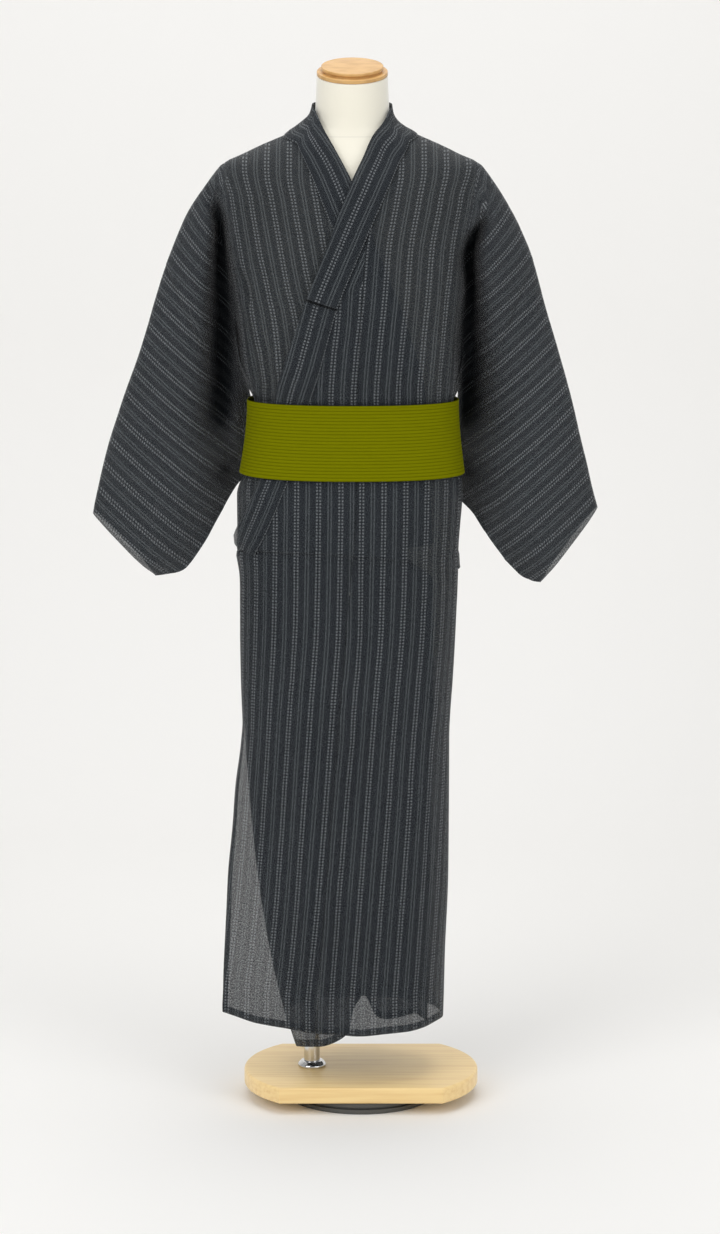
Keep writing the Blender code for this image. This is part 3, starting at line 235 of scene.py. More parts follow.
LEFT_LEG = table(
    LEG_COLUMNS,
    (0, 0.0426, 1.5340, 0.0770, 1.4950),
    (1, 0.0400, 1.5260, 0.0715, 1.4800),
    (2, 0.0326, 1.5105, 0.0655, 1.4670),
    (3, 0.0162, 1.4898, 0.0576, 1.4539),
    (4, 0.0020, 1.4580, 0.0470, 1.4300),
    (5, -0.0133, 1.4258, 0.0356, 1.4050),
    (6, -0.0300, 1.3840, 0.0170, 1.3640),
    (7, -0.0457, 1.3416, -0.0011, 1.3220),
    (8, -0.0625, 1.2980, -0.0190, 1.2800),
    (9, -0.0798, 1.2545, -0.0350, 1.2400),
    (10, -0.0900, 1.2240, -0.0435, 1.2100),
    (11, -0.1008, 1.1928, -0.0520, 1.1780),
    (12, -0.1120, 1.1590, -0.0610, 1.1450),
    (13, -0.1215, 1.1280, -0.0705, 1.1150),
    (14, -0.1257, 1.1029, -0.0761, 1.0973),
    (15, -0.1330, 1.0600, -0.0860, 1.0580),
    (16, -0.1410, 1.0150, -0.0960, 1.0180),
    (17, -0.1491, 0.9748, -0.1066, 0.9782),
    (18, -0.1610, 0.9480, -0.1180, 0.9500),
    (19, -0.1740, 0.9180, -0.1310, 0.9180),
    (20, -0.1840, 0.8950, -0.1440, 0.8880),
    (21, -0.1872, 0.8840, -0.1502, 0.8740),
    (22, -0.1900, 0.8740, -0.1560, 0.8620),
)
RIGHT_LEG = table(
    LEG_COLUMNS,
    (0, -0.0690, 1.5340, -0.1014, 1.4941),
    (1, -0.0660, 1.5260, -0.0940, 1.4780),
    (2, -0.0578, 1.5066, -0.0860, 1.4600),
    (3, -0.0355, 1.4670, -0.0723, 1.4311),
    (4, -0.0133, 1.4255, -0.0590, 1.3990),
    (5, 0.0030, 1.3840, -0.0440, 1.3620),
    (6, 0.0187, 1.3416, -0.0245, 1.3200),
    (7, 0.0350, 1.2980, -0.0070, 1.2780),
    (8, 0.0528, 1.2545, 0.0100, 1.2360),
    (9, 0.0738, 1.1928, 0.0290, 1.1780),
    (10, 0.0900, 1.1400, 0.0430, 1.1280),
    (11, 0.0960, 1.1029, 0.0500, 1.0973),
    (12, 0.0980, 1.0400, 0.0530, 1.0380),
    (13, 0.1000, 0.9748, 0.0560, 0.9782),
    (14, 0.1050, 0.9300, 0.0590, 0.9280),
    (15, 0.1070, 0.8800, 0.0610, 0.8760),
)
COLLAR_START = 0.0022  # from a dotted stripe's middle to the collar's outer edge
OVER_COLLAR_LIFT = 0.0024  # how far the over-collar's folded end stands up
OVER_COLLAR_RISE = 1.4  # the rows over which it rises
OVER_COLLAR_PLY = 0.75 * PLY  # from the collar's middle to the over-collar's
OVER_COLLAR_ROWS = 9  # the row of each leg where the over-collar ends
END_DOWN, END_IN = 0.0002, 0.0001  # the folded end's edge, from the last row of the cloth
FOLD_CLEAR, FOLD_LIP = 0.0011, 0.0036  # its inner edge: off the collar, and below the end
STITCH_EDGE = 0.96  # how near the collar's outer edge the stitches run, in its last column
STITCH_LENGTH, STITCH_WIDTH, STITCH_LIFT = 0.0022, 0.0005, 0.0001
LEFT_SEAM = table("height x", (1.345, 0.0075), (1.101, -0.006), (0.9325, -0.0075),
                  (0.765, -0.0211), (0.6426, -0.0302), (0.3365, -0.0533), (0.09, -0.0690))
RIGHT_SEAM = table("height x", (1.345, -0.036), (1.10, -0.0220), (0.93, -0.0200),
                   (0.64, -0.0120), (0.34, -0.0040), (0.09, 0.0040))
RIGHT_OKUMI_EDGE = table("height x", (0.87, 0.0690), (0.84, 0.1080), (0.40, 0.1060),
                         (0.09, 0.1000))
FLAP = table(
    "height reach",
    (0.8600, 0.002), (0.8000, 0.000), (0.6000, 0.000), (0.5630, 0.004), (0.5000, 0.016),
    (0.4380, 0.026), (0.3750, 0.039), (0.3120, 0.050), (0.2480, 0.063), (0.1840, 0.078),
    (0.1410, 0.089), (0.0800, 0.094),
)
OUTER_HEM = table("x height", (-0.1155, 0.1480), (-0.1135, 0.1440), (-0.1103, 0.1388),
                  (-0.1056, 0.1336), (-0.0971, 0.1304), (-0.0871, 0.1283), (-0.0714, 0.1250),
                  (-0.0231, 0.1222), (0.0409, 0.1254), (0.0915, 0.1284), (0.1150, 0.1321),
                  (0.1239, 0.1300))
UNDER_HEM = table("x height", (-0.1290, 0.1180), (-0.1262, 0.1150), (-0.1225, 0.0890),
                  (-0.1149, 0.0917), (-0.0948, 0.0973), (-0.0738, 0.1015), (-0.0542, 0.1088),
                  (-0.0332, 0.1211), (-0.0236, 0.1325), (-0.0175, 0.1560), (-0.0065, 0.1755),
                  (0.0062, 0.1882), (0.0107, 0.1786), (0.0207, 0.1530), (0.0402, 0.1475),
                  (0.0820, 0.1520), (0.0930, 0.1440), (0.1020, 0.1340), (0.1100, 0.1280))
ARM_COLUMNS = "reach fold_x fold_height bag_x bag_height bag_y depth"
RIGHT_ARM = table(
    ARM_COLUMNS,
    (0.000, -0.2183, 1.4390, -0.1780, 1.1120, 0.000, 0.047),
    (0.045, -0.2366, 1.4100, -0.1715, 1.1010, 0.014, 0.052),
    (0.100, -0.2612, 1.3705, -0.1670, 1.0820, 0.040, 0.051),
    (0.180, -0.2935, 1.2950, -0.1660, 1.0080, 0.062, 0.044),
    (0.230, -0.3085, 1.2470, -0.1730, 0.9750, 0.062, 0.042),
    (0.275, -0.3218, 1.2030, -0.1930, 0.9480, 0.047, 0.042),
    (0.390, -0.3580, 1.0975, -0.2222, 0.9000, 0.018, 0.041),
    (0.500, -0.3914, 0.9900, -0.2506, 0.8535, 0.000, 0.036),
    (0.550, -0.4035, 0.9400, -0.2750, 0.8250, 0.000, 0.032),
    (0.575, -0.4080, 0.9180, -0.3015, 0.8075, 0.000, 0.028),
)
LEFT_ARM = table(
    ARM_COLUMNS,
    (0.000, 0.1929, 1.4330, 0.1530, 1.1120, 0.000, 0.047),
    (0.045, 0.2115, 1.4030, 0.1490, 1.1010, 0.014, 0.052),
    (0.100, 0.2385, 1.3500, 0.1470, 1.0780, 0.040, 0.051),
    (0.155, 0.2586, 1.3020, 0.1450, 1.0220, 0.056, 0.046),
    (0.230, 0.2780, 1.2335, 0.1440, 0.9530, 0.062, 0.042),
    (0.325, 0.3043, 1.1420, 0.1755, 0.9080, 0.030, 0.042),
    (0.405, 0.3250, 1.0670, 0.1975, 0.8740, 0.000, 0.040),
    (0.485, 0.3442, 0.9900, 0.2255, 0.8380, 0.000, 0.036),
    (0.520, 0.3520, 0.9570, 0.2455, 0.8170, 0.000, 0.033),
    (0.550, 0.3604, 0.9260, 0.2640, 0.7970, 0.000, 0.028),
)


# ---- how the stripes and the folds lie ------------------------------------------------------

# Where one dotted stripe of each front panel runs, from the shoulder to the hem.
LEFT_STRIPE = table(
    "height x",
    (1.465, 0.0600), (1.408, 0.0546), (1.330, 0.0413), (1.252, 0.0350), (1.172, 0.0270),
    (1.102, 0.0224), (0.979, 0.0345), (0.768, 0.0309), (0.646, 0.0219), (0.178, -0.0137),
)
LEFT_OKUMI_STRIPE = table(
    "height x",
    (1.300, -0.0300), (1.217, -0.0348), (1.172, -0.0401), (1.102, -0.0448), (0.979, -0.0300),
    (0.769, -0.0331), (0.646, -0.0415), (0.335, -0.0655), (0.1735, -0.0813),
)
RIGHT_STRIPE = table(
    "height x",
    (1.464, -0.1395), (1.421, -0.1352), (1.343, -0.1219), (1.270, -0.1088), (1.224, -0.0980),
    (1.162, -0.0907), (0.979, -0.0800), (0.100, -0.0600),
)
RIGHT_OKUMI_STRIPE = table("height x", (1.300, 0.0100), (0.950, 0.0200), (0.100, 0.0300))
# How steeply the sleeves' stripes run down from the fold, in the front view.
SLANT = table("height angle", (1.00, radians(42)), (1.24, radians(44)), (1.40, radians(58)))
SLEEVE_STRETCH = {-1: 0.895, 1: 0.937}  # the slant spreads the stripes along the fold
CUFF_RUN, SHOULDER_RUN = (0.27, -0.96), (0.82, -0.57)  # the fold's slopes past its two ends
FOLD_LINE = np.linspace(-0.15, 0.75, 400)  # places along the fold and past both its ends
RIGHT_SLEEVE_START, LEFT_SLEEVE_START = -0.0588, 0.1019
CUFF_ROUND = 0.11  # how much the cuff's lower corner is rounded

# Soft folds on the fronts: a line across the front from one place to another, its half width
# on each side and how far it stands in (below nought) or out.
FRONT_CREASES = table(
    "x1 z1 x2 z2 near far depth",
    # puckers over the obi at the right
    (-0.1790, 1.2900, -0.1640, 1.2350, 0.006, 0.007, -0.0070),
    (-0.1650, 1.2500, -0.1560, 1.1650, 0.006, 0.006, 0.0060),
    (-0.1640, 1.2300, -0.1540, 1.1000, 0.005, 0.006, -0.0060),
    (-0.1480, 1.3050, -0.1400, 1.2450, 0.007, 0.012, -0.0050),
    (-0.1420, 1.1900, -0.1340, 1.1000, 0.006, 0.007, -0.0048),
    (-0.1290, 1.2100, -0.1240, 1.1000, 0.008, 0.008, 0.0040),
    # folds over the obi at the left
    (0.1150, 1.3000, 0.1050, 1.1100, 0.010, 0.012, 0.0030),
    (0.1260, 1.2900, 0.1180, 1.1050, 0.007, 0.007, -0.0030),
    (0.0700, 1.1900, 0.0680, 1.1020, 0.010, 0.011, -0.0020),
    (0.0450, 1.1700, 0.0440, 1.1010, 0.009, 0.009, 0.0018),
    (0.0080, 1.1650, 0.0070, 1.1010, 0.009, 0.009, -0.0016),
    # the pressed fold down the right chest
    (-0.1240, 1.4500, -0.0830, 1.2550, 0.0022, 0.010, -0.0022),
    # the skirt's long crease and its neighbours
    (0.0105, 0.8500, 0.0015, 0.6460, 0.005, 0.018, -0.0045),
    (0.0015, 0.6460, -0.0304, 0.3360, 0.006, 0.020, -0.0050),
    (-0.0304, 0.3360, -0.0460, 0.1300, 0.006, 0.020, -0.0045),
    (0.0300, 0.8300, 0.0200, 0.5200, 0.014, 0.014, 0.0030),
    (-0.0950, 0.8550, -0.1150, 0.6400, 0.014, 0.016, -0.0030),
    (0.0900, 0.8300, 0.0760, 0.4600, 0.016, 0.016, -0.0028),
    (-0.0500, 0.7600, -0.0620, 0.4300, 0.014, 0.016, 0.0020),
    (0.1180, 0.8150, 0.1080, 0.5800, 0.010, 0.014, 0.0030),
)
BACK_CREASES = table(
    "x1 z1 x2 z2 near far depth",
    (-0.1300, 1.2400, -0.1220, 1.1000, 0.007, 0.008, -0.0035),
    (-0.1000, 1.2900, -0.0900, 1.1000, 0.010, 0.010, 0.0030),
    (-0.0620, 1.2000, -0.0580, 1.1000, 0.007, 0.007, -0.0028),
    (0.0480, 1.2300, 0.0400, 1.1000, 0.008, 0.009, -0.0030),
    (0.0800, 1.2800, 0.0700, 1.1000, 0.010, 0.010, 0.0030),
    (0.1080, 1.2200, 0.1000, 1.1000, 0.007, 0.008, -0.0035),
    (-0.0700, 0.8400, -0.0600, 0.4000, 0.014, 0.018, -0.0040),
    (0.0500, 0.8400, 0.0440, 0.4600, 0.016, 0.014, -0.0040),
    (0.1000, 0.8300, 0.0900, 0.3000, 0.012, 0.016, 0.0035),
)


# The deep folds where the chest meets the sleeves: where each lies at each height, the share of
# the way to the middle it goes in, and its width on each side.
VALLEY_COLUMNS = "height x share chest sleeve"
RIGHT_VALLEY = table(
    VALLEY_COLUMNS,
    (1.430, -0.2300, 0.00, 0.008, 0.010),
    (1.400, -0.2200, 0.30, 0.008, 0.010),
    (1.350, -0.2110, 0.80, 0.010, 0.010),
    (1.306, -0.2100, 0.92, 0.014, 0.014),
    (1.261, -0.2090, 0.94, 0.018, 0.018),
    (1.216, -0.2080, 0.94, 0.022, 0.020),
    (1.171, -0.2110, 0.94, 0.026, 0.020),
    (1.126, -0.2120, 0.90, 0.026, 0.020),
    (1.080, -0.2130, 0.75, 0.024, 0.024),
    (1.035, -0.2120, 0.45, 0.020, 0.028),
    (0.989, -0.2080, 0.15, 0.014, 0.024),
    (0.960, -0.2060, 0.00, 0.012, 0.020),
)
LEFT_VALLEY = table(
    VALLEY_COLUMNS,
    (1.430, 0.2080, 0.00, 0.006, 0.010),
    (1.385, 0.1900, 0.00, 0.006, 0.010),
    (1.362, 0.1800, 0.40, 0.007, 0.010),
    (1.340, 0.1680, 0.70, 0.010, 0.012),
    (1.306, 0.1610, 0.88, 0.012, 0.014),
    (1.261, 0.1640, 0.94, 0.012, 0.014),
    (1.216, 0.1610, 0.94, 0.014, 0.020),
    (1.171, 0.1580, 0.94, 0.014, 0.026),
    (1.126, 0.1580, 0.90, 0.012, 0.032),
    (1.080, 0.1590, 0.75, 0.008, 0.034),
    (1.035, 0.1590, 0.45, 0.008, 0.036),
    (0.989, 0.1600, 0.15, 0.008, 0.034),
    (0.960, 0.1620, 0.00, 0.008, 0.030),
)
# Painted shade: the cotton's colour is darkened deep in the folds beside the chest, and in the gap
# under the over-collar's folded end.
PAINTED_FOLD_DARK, FOLD_SPREAD = 0.84, 1.4  # painted shade: how far the cloth's colour is darkened deep in a fold, and how far round
TURN_WIDTH, TURN_REACH = 0.010, 0.020  # where the chest's stripes turn into the sleeve's
VALLEY_SQUARE = 2.6  # how flat the floor of a deep fold is
DEEP_SHARE = 0.75  # a fold that goes in this share of the way gets the darkest painted shade
PAINTED_LOW_DARK = 0.9  # beside the obi and below it a shallow fold gets nearly as much painted shade, between these
LOW_TOP, LOW_TOP_RUN, LOW_END, LOW_END_RUN = 1.05, 0.10, 0.93, 0.05
TURN_TOP, TURN_TOP_RUN, TURN_START = 1.36, 0.10, 0.2  # where that starts, down and along
PAINTED_EDGE_LIGHT = 0.22  # painted shadow: the share of the colour left in the gap under a folded end


# ---- curves and the trunk surface -----------------------------------------------------------

def curve(rows, column, at):
    """A column's values at places, on a smooth curve through the rows that never overshoots."""
    key = next(iter(rows))
    xs, ys = rows[key], rows[column]
    gaps = np.diff(xs)
    slopes = np.diff(ys) / gaps
    tangents = np.empty(len(xs))
    tangents[0], tangents[-1] = slopes[0], slopes[-1]
    before, after = slopes[:-1], slopes[1:]
    same = before * after > 0
    total = np.where(same, before + after, 1.0)
    tangents[1:-1] = np.where(same, 2 * before * after / total, 0.0)
    at = np.clip(np.asarray(at, float), xs[0], xs[-1])
    i = np.clip(np.searchsorted(xs, at) - 1, 0, len(xs) - 2)
    gap = gaps[i]
    s = (at - xs[i]) / gap
    value = (2 * s**3 - 3 * s**2 + 1) * ys[i] + (s**3 - 2 * s**2 + s) * tangents[i] * gap
    return value + (3 * s**2 - 2 * s**3) * ys[i + 1] + (s**3 - s**2) * tangents[i + 1] * gap


def smooth(share):
    """0 to 1 with level ends."""
    share = np.clip(share, 0.0, 1.0)
    return share * share * (3 - 2 * share)


def power(value, exponent):
    return np.sign(value) * np.abs(value) ** exponent


def section(rows, height):
    left, right, front, back, square = (
        curve(rows, name, height) for name in ("left", "right", "front", "back", "square")
    )
    return (left + right) / 2, (right - left) / 2, front, back, square


def on_section(rows, height, angle):
    height, angle = np.broadcast_arrays(np.asarray(height, float), np.asarray(angle, float))
    centre, half, front, back, square = section(rows, height)
    x = centre + half * power(np.sin(angle), 2 / square)
    depth = np.where(np.cos(angle) > 0, front, back)
    return np.stack([x, -depth * power(np.cos(angle), 2 / square), height], axis=-1)


def angle_at(x, height, back=False):
    """The angle round the trunk of a point at x, on the front or the back."""
    centre, half, _, _, square = section(TRUNK, height)
    angle = np.arcsin(power(np.clip((x - centre) / half, -1, 1), square / 2))
    if back:
        return np.where(x >= centre, pi - angle, -pi - angle)
    return angle


def fold_relief(folds, x, height, facing):
    """How far the long folds stand out; facing is 1 at the front and -1 at the back."""
    out = 0.0
    for i in range(len(folds["top_x"])):
        top, bottom = folds["top"][i], folds["bottom"][i]
        share = (top - height) / (top - bottom)
        middle = folds["top_x"][i] + (folds["bottom_x"][i] - folds["top_x"][i]) * share
        fade = smooth(share / FOLD_IN) * smooth((1.0 - share) / FOLD_OUT)
        bump = np.exp(-(((x - middle) / folds["width"][i]) ** 2))
        out = out + folds["height"][i] * bump * fade * np.maximum(0, facing * folds["face"][i])
    return out


def trunk(height, angle, out=0.0, outer=False):
    """Points on the trunk, moved out along the surface's normal."""
    step = 0.001
    place = on_section(TRUNK, height, angle)
    round_it = on_section(TRUNK, height, angle + step) - on_section(TRUNK, height, angle - step)
    up = on_section(TRUNK, height + step, angle) - on_section(TRUNK, height - step, angle)
    normal = np.cross(round_it, up)
    normal /= np.linalg.norm(normal, axis=-1)[..., None]
    ahead = np.cos(angle)
    facing = np.copysign(smooth(np.abs(ahead) / FOLD_FACE), ahead)
    out = out + fold_relief(FOLDS, place[..., 0], height, facing)
    if outer:
        out = out + fold_relief(OUTER_FOLDS, place[..., 0], height, facing)
    return place + normal * out[..., None]


def outer_front(height, angle, out=0.0):
    """Points on the outer front, whose free edge stands away from the layers under it."""
    lift = FRONT_LAYERS * PLY * smooth((LIFT_TOP - height) / LIFT_DROP)
    lift = lift * smooth((LIFT_ANGLE - angle) / LIFT_TURN)
    place = trunk(height, angle, lift + out, outer=True)
    share = np.clip((FLAP_START - angle) / (FLAP_START - FLAP_EDGE), 0, 1)
    reach = curve(FLAP, "reach", height) * share**FLAP_CURL
    away = np.where(height < FLAP["height"][-1], reach, 0.0)
    return place + away[..., None] * np.array([-1.0, -FLAP_FORWARD, 0.0])


# ---- sheets of cloth ------------------------------------------------------------------------

class Cloth:
    """Points, four-sided faces that face out, and each corner's place on the flat cloth."""

    def __init__(self, points, faces, uv):
        self.points, self.faces, self.uv = points, faces, uv

    def part(self, chosen):
        """The same points with only the chosen faces."""
        return Cloth(self.points, self.faces[chosen], self.uv[chosen])

    def normals(self):
        """The mean direction of the faces round each point."""
        a, b, c, d = (self.points[self.faces[:, i]] for i in range(4))
        across = np.cross(c - a, d - b)
        total = np.zeros_like(self.points)
        for i in range(4):
            np.add.at(total, self.faces[:, i], across)
        length = np.linalg.norm(total, axis=1)
        return total / np.maximum(length, 1e-12)[:, None]

    def tree(self, thick):
        """What lies on this cloth rests on its outer side."""
        outer = self.points + self.normals() * thick
        return BVHTree.FromPolygons(outer.tolist(), self.faces.tolist())


def grid_faces(rows, columns):
    first = (np.arange(rows - 1)[:, None] * columns + np.arange(columns - 1)[None]).ravel()
    return np.stack([first, first + columns, first + columns + 1, first + 1], axis=1)


def facing(faces, side):
    return faces if side > 0 else faces[:, ::-1]


def relax(push, shape, rounds=6):
    """Spreads the settling over a sheet's grid, so that it leaves no dents."""
    field = push.reshape(shape)
    for _ in range(rounds):
        wide = np.pad(field, 1, mode="edge")
        mean = (wide[:-2, 1:-1] + wide[2:, 1:-1] + wide[1:-1, :-2] + wide[1:-1, 2:]) / 4
        field = np.maximum(field, mean)
    return field.ravel()


def push_clear(cloth, count, under, gap, look):
    """Which way the first points face, and how far each moves to clear what is under it."""
    normals = cloth.normals()
    push = np.zeros(count)
    for i in range(count):
        start, along = cloth.points[i] + normals[i] * look, Vector(-normals[i])
        for tree in under:
            distance = tree.ray_cast(Vector(start), along, 2 * look)[3]
            if distance is not None:
                push[i] = max(push[i], gap + look - distance)
    return normals[:count], push


def settle(cloth, shape, under, gap):
    """Moves a sheet out until it lies clear of what is under it."""
    count = shape[0] * shape[1]
    for _ in range(4):
        normals, push = push_clear(cloth, count, under, gap, SETTLE_LOOK)
        if push.max() < 1e-5:
            break
        cloth.points[:count] += normals * relax(push, shape)[:, None]


def crease_relief(creases, points):
    """How far the listed folds move each point, seen from the front or the back."""
    out = np.zeros(len(points))
    flat = points[:, [0, 2]]
    for i in range(len(creases["x1"])):
        start = np.array([creases["x1"][i], creases["z1"][i]])
        run = np.array([creases["x2"][i], creases["z2"][i]]) - start
        length = np.linalg.norm(run)
        along = run / length
        place = (flat - start) @ along
        share = np.clip(place / length, 0, 1)
        off = flat - (start + share[:, None] * run)
        side = off[:, 0] * along[1] - off[:, 1] * along[0]
        distance = np.linalg.norm(off, axis=1)
        width = np.where(side < 0, creases["far"][i], creases["near"][i])
        bump = np.exp(-((distance / width) ** 2))
        fade = CREASE_END + (1 - CREASE_END) * smooth(np.minimum(share, 1 - share) / CREASE_RUN)
        out += creases["depth"][i] * bump * fade
    return out


def beside_valleys(points, spread=1.0):
    """How far each deep fold goes in, and how far from it each point lies, in its widths."""
    for rows, side in ((LEFT_VALLEY, 1), (RIGHT_VALLEY, -1)):
        off = side * (points[:, 0] - curve(rows, "x", points[:, 2]))
        width = spread * np.where(off > 0, curve(rows, "sleeve", points[:, 2]),
                                  curve(rows, "chest", points[:, 2]))
        yield curve(rows, "share", points[:, 2]), np.abs(off / width)


def valley_share(points):
    """How far the deep folds beside the chest go in at each point, as a share of the way."""
    return sum(share * np.exp(-(off**VALLEY_SQUARE)) for share, off in beside_valleys(points))


def painted_fold_light(points):
    """Painted shade for the deep folds: the share of its colour that the cloth keeps, 1 outside
    them.
    """
    light, height = np.ones(len(points)), points[:, 2]
    low = PAINTED_LOW_DARK * smooth((LOW_TOP - height) / LOW_TOP_RUN)
    low = low * smooth((height - LOW_END) / LOW_END_RUN)
    for share, off in beside_valleys(points, FOLD_SPREAD):
        light -= PAINTED_FOLD_DARK * np.maximum(smooth(share / DEEP_SHARE), low) * np.exp(-(off**2))
    return light


def form_depth(points):
    """How far the form comes forward and back at each point's place across."""
    centre, half, front, back, square = section(FORM, points[:, 2])
    share = np.clip(np.abs((points[:, 0] - centre) / half), 0, 1)
    rest = (1 - share**square) ** (1 / square)
    inside = (share < 1) & (points[:, 2] > FORM["height"][0])
    return np.where(inside, front * rest, -1.0), np.where(inside, back * rest, -1.0)


def add_creases(cloth, waves=BODY_WAVES, middle=0.0):
    """Folds listed in the tables, and slight waves all over as hanging cotton has.

    The middle is how far behind the frame's middle plane the two sides of a sleeve meet.
    """
    normals = cloth.normals()
    ahead, behind = smooth(-normals[:, 1] / TURN_FACE), smooth(normals[:, 1] / TURN_FACE)
    out = crease_relief(FRONT_CREASES, cloth.points) * ahead
    out += crease_relief(BACK_CREASES, cloth.points) * behind
    for i, place in enumerate(cloth.points):
        wide = Vector(place * WIDE_WAVES)
        fine = Vector(place * FINE_WAVES + (7, 0, 0))
        out[i] += waves * (noise.noise(wide) * WIDE_SHARE + noise.noise(fine) * FINE_SHARE)
    inward = valley_share(cloth.points) * (ahead + VALLEY_BACK * behind)
    cloth.points += normals * out[:, None]
    cloth.points[:, 1] += (middle - cloth.points[:, 1]) * inward
    front, back = form_depth(cloth.points)
    depth = cloth.points[:, 1]
    depth = np.where(ahead > 0, np.minimum(depth, -front - FORM_GAP), depth)
    cloth.points[:, 1] = np.where(behind > 0, np.maximum(depth, back + FORM_GAP), depth)


def turned_in(cloth, lines, uv, width):
    """The points and places of a hem: the cloth folded back on the inside of its last rows.

    The lines are rows of point numbers, from the edge inwards.
    """
    places, normals = cloth.points[lines], cloth.normals()[lines]
    away = np.cumsum(np.linalg.norm(np.diff(places, axis=0), axis=2), axis=0)
    away = np.concatenate([np.zeros((1, len(lines[0]))), away])
    new, spots = [], []
    outward = (uv[lines[0]] - uv[lines[1]]) / np.maximum(away[1], 1e-6)[:, None]
    for target in (0.0, width / 2, width):
        low = np.clip((away < target + 1e-9).sum(axis=0) - 1, 0, len(lines) - 2)
        column = np.arange(len(lines[0]))
        near, far = away[low, column], away[low + 1, column]
        share = ((target - near) / (far - near))[:, None]
        place = places[low, column] * (1 - share) + places[low + 1, column] * share
        normal = normals[low, column] * (1 - share) + normals[low + 1, column] * share
        new.append(place - normal * (HEM_DROP if target else HEM_DROP / 2))
        spots.append(uv[lines[0]] + outward * target)
    return np.array(new), np.array(spots)


def hem_faces(edge, first, flipped):
    """Faces from an edge's points to the three new rows of its hem."""
    rows = [edge, *(first + i * len(edge) + np.arange(len(edge)) for i in range(3))]
    quads = [np.stack([a[:-1], b[:-1], b[1:], a[1:]], axis=1) for a, b in zip(rows, rows[1:])]
    quads = np.concatenate(quads)
    return quads[:, ::-1] if flipped else quads


# ---- the robe's panels ----------------------------------------------------------------------

def level_line(line, behind):
    """A row's height as a function of place: a line across the front, level behind."""
    return lambda x, angle: np.where(np.abs(angle) > pi / 2, behind, curve(line, "height", x))


tuck_height = level_line(TUCK_LINE, TUCK_BACK)
outer_hem, under_hem = level_line(OUTER_HEM, BACK_HEM), level_line(UNDER_HEM, BACK_HEM)


def row_kinds(hem):
    """Every row of a panel: its height as a function of place, and how far it stands out."""
    rows = [(lambda x, angle: TOP_ROW + CREST_RISE * (1 - np.abs(np.cos(angle))), TOP_ROW, 0.0)]
    rows += [(lambda x, angle, z=z: z + 0 * x, z, 0.0) for z in CHEST_ROWS]
    for above, out in sorted(zip(TUCK["above"], TUCK["out"]), reverse=True):
        level = float(curve(TUCK_LINE, "height", 0.0)) + above
        rows.append((lambda x, angle, d=above: tuck_height(x, angle) + d, level, out))
    rows += [(lambda x, angle, z=z: z + 0 * x, z, 0.0) for z in SKIRT_ROWS]
    rows.append((hem, float(hem(0.0, 0.0)), 0.0))
    return rows


def row_spots(rows, step):
    """Where the fine rows lie between the named ones, and the row that each armhole end is."""
    spots, marks = [], []
    for i, (here, there) in enumerate(zip(rows, rows[1:])):
        marks.append(len(spots))
        count = max(1, round((here[1] - there[1]) / step))
        spots += [i + j / count for j in range(count)]
    marks.append(len(spots))
    return np.array(spots + [len(rows) - 1.0]), marks


def rows_at(rows, spots, angles_of):
    """Angles, heights and outward steps of the fine rows."""
    levels = np.interp(spots, np.arange(len(rows)), [row[1] for row in rows])
    outs = np.interp(spots, np.arange(len(rows)), [row[2] for row in rows])
    angles = angles_of(levels)
    x = on_section(TRUNK, levels[:, None], angles)[..., 0]
    named = np.stack([np.broadcast_to(row[0](x, angles), x.shape) for row in rows])
    low = np.minimum(spots.astype(int), len(rows) - 2)
    share = (spots - low)[:, None]
    index = np.arange(len(spots))
    heights = named[low, index] * (1 - share) + named[low + 1, index] * share
    return angles, heights, outs[:, None], levels


def blend_angles(start, end, steps):
    return start[:, None] + (end - start)[:, None] * np.arange(steps + 1)[None] / steps


def leg_edge(leg, height, inward):
    """Where a panel ends under a leg of the collar: inside the band's outer edge."""
    order = np.argsort(leg["outer_height"])
    outer = np.interp(height, leg["outer_height"][order], leg["outer_x"][order])
    return outer + inward * UNDERLAP


def run_along(points):
    """The distance along each row of a grid of points, from its first column."""
    steps = np.linalg.norm(np.diff(points, axis=1), axis=2)
    return np.concatenate([np.zeros((len(points), 1)), np.cumsum(steps, axis=1)], axis=1)


def across_from(points, guide, heights):
    """The distance across the cloth from a stripe, at each point of a panel's front."""
    run = run_along(points)
    order = np.sign(points[0, 1, 0] - points[0, 0, 0])
    along = np.maximum.accumulate(order * points[..., 0], axis=1)
    target = order * curve(guide, "x", heights)
    zero = np.array([np.interp(t, row, r) for t, row, r in zip(target, along, run)])
    zero += np.minimum(0, target - along[:, 0])
    return order * (run - zero[:, None])


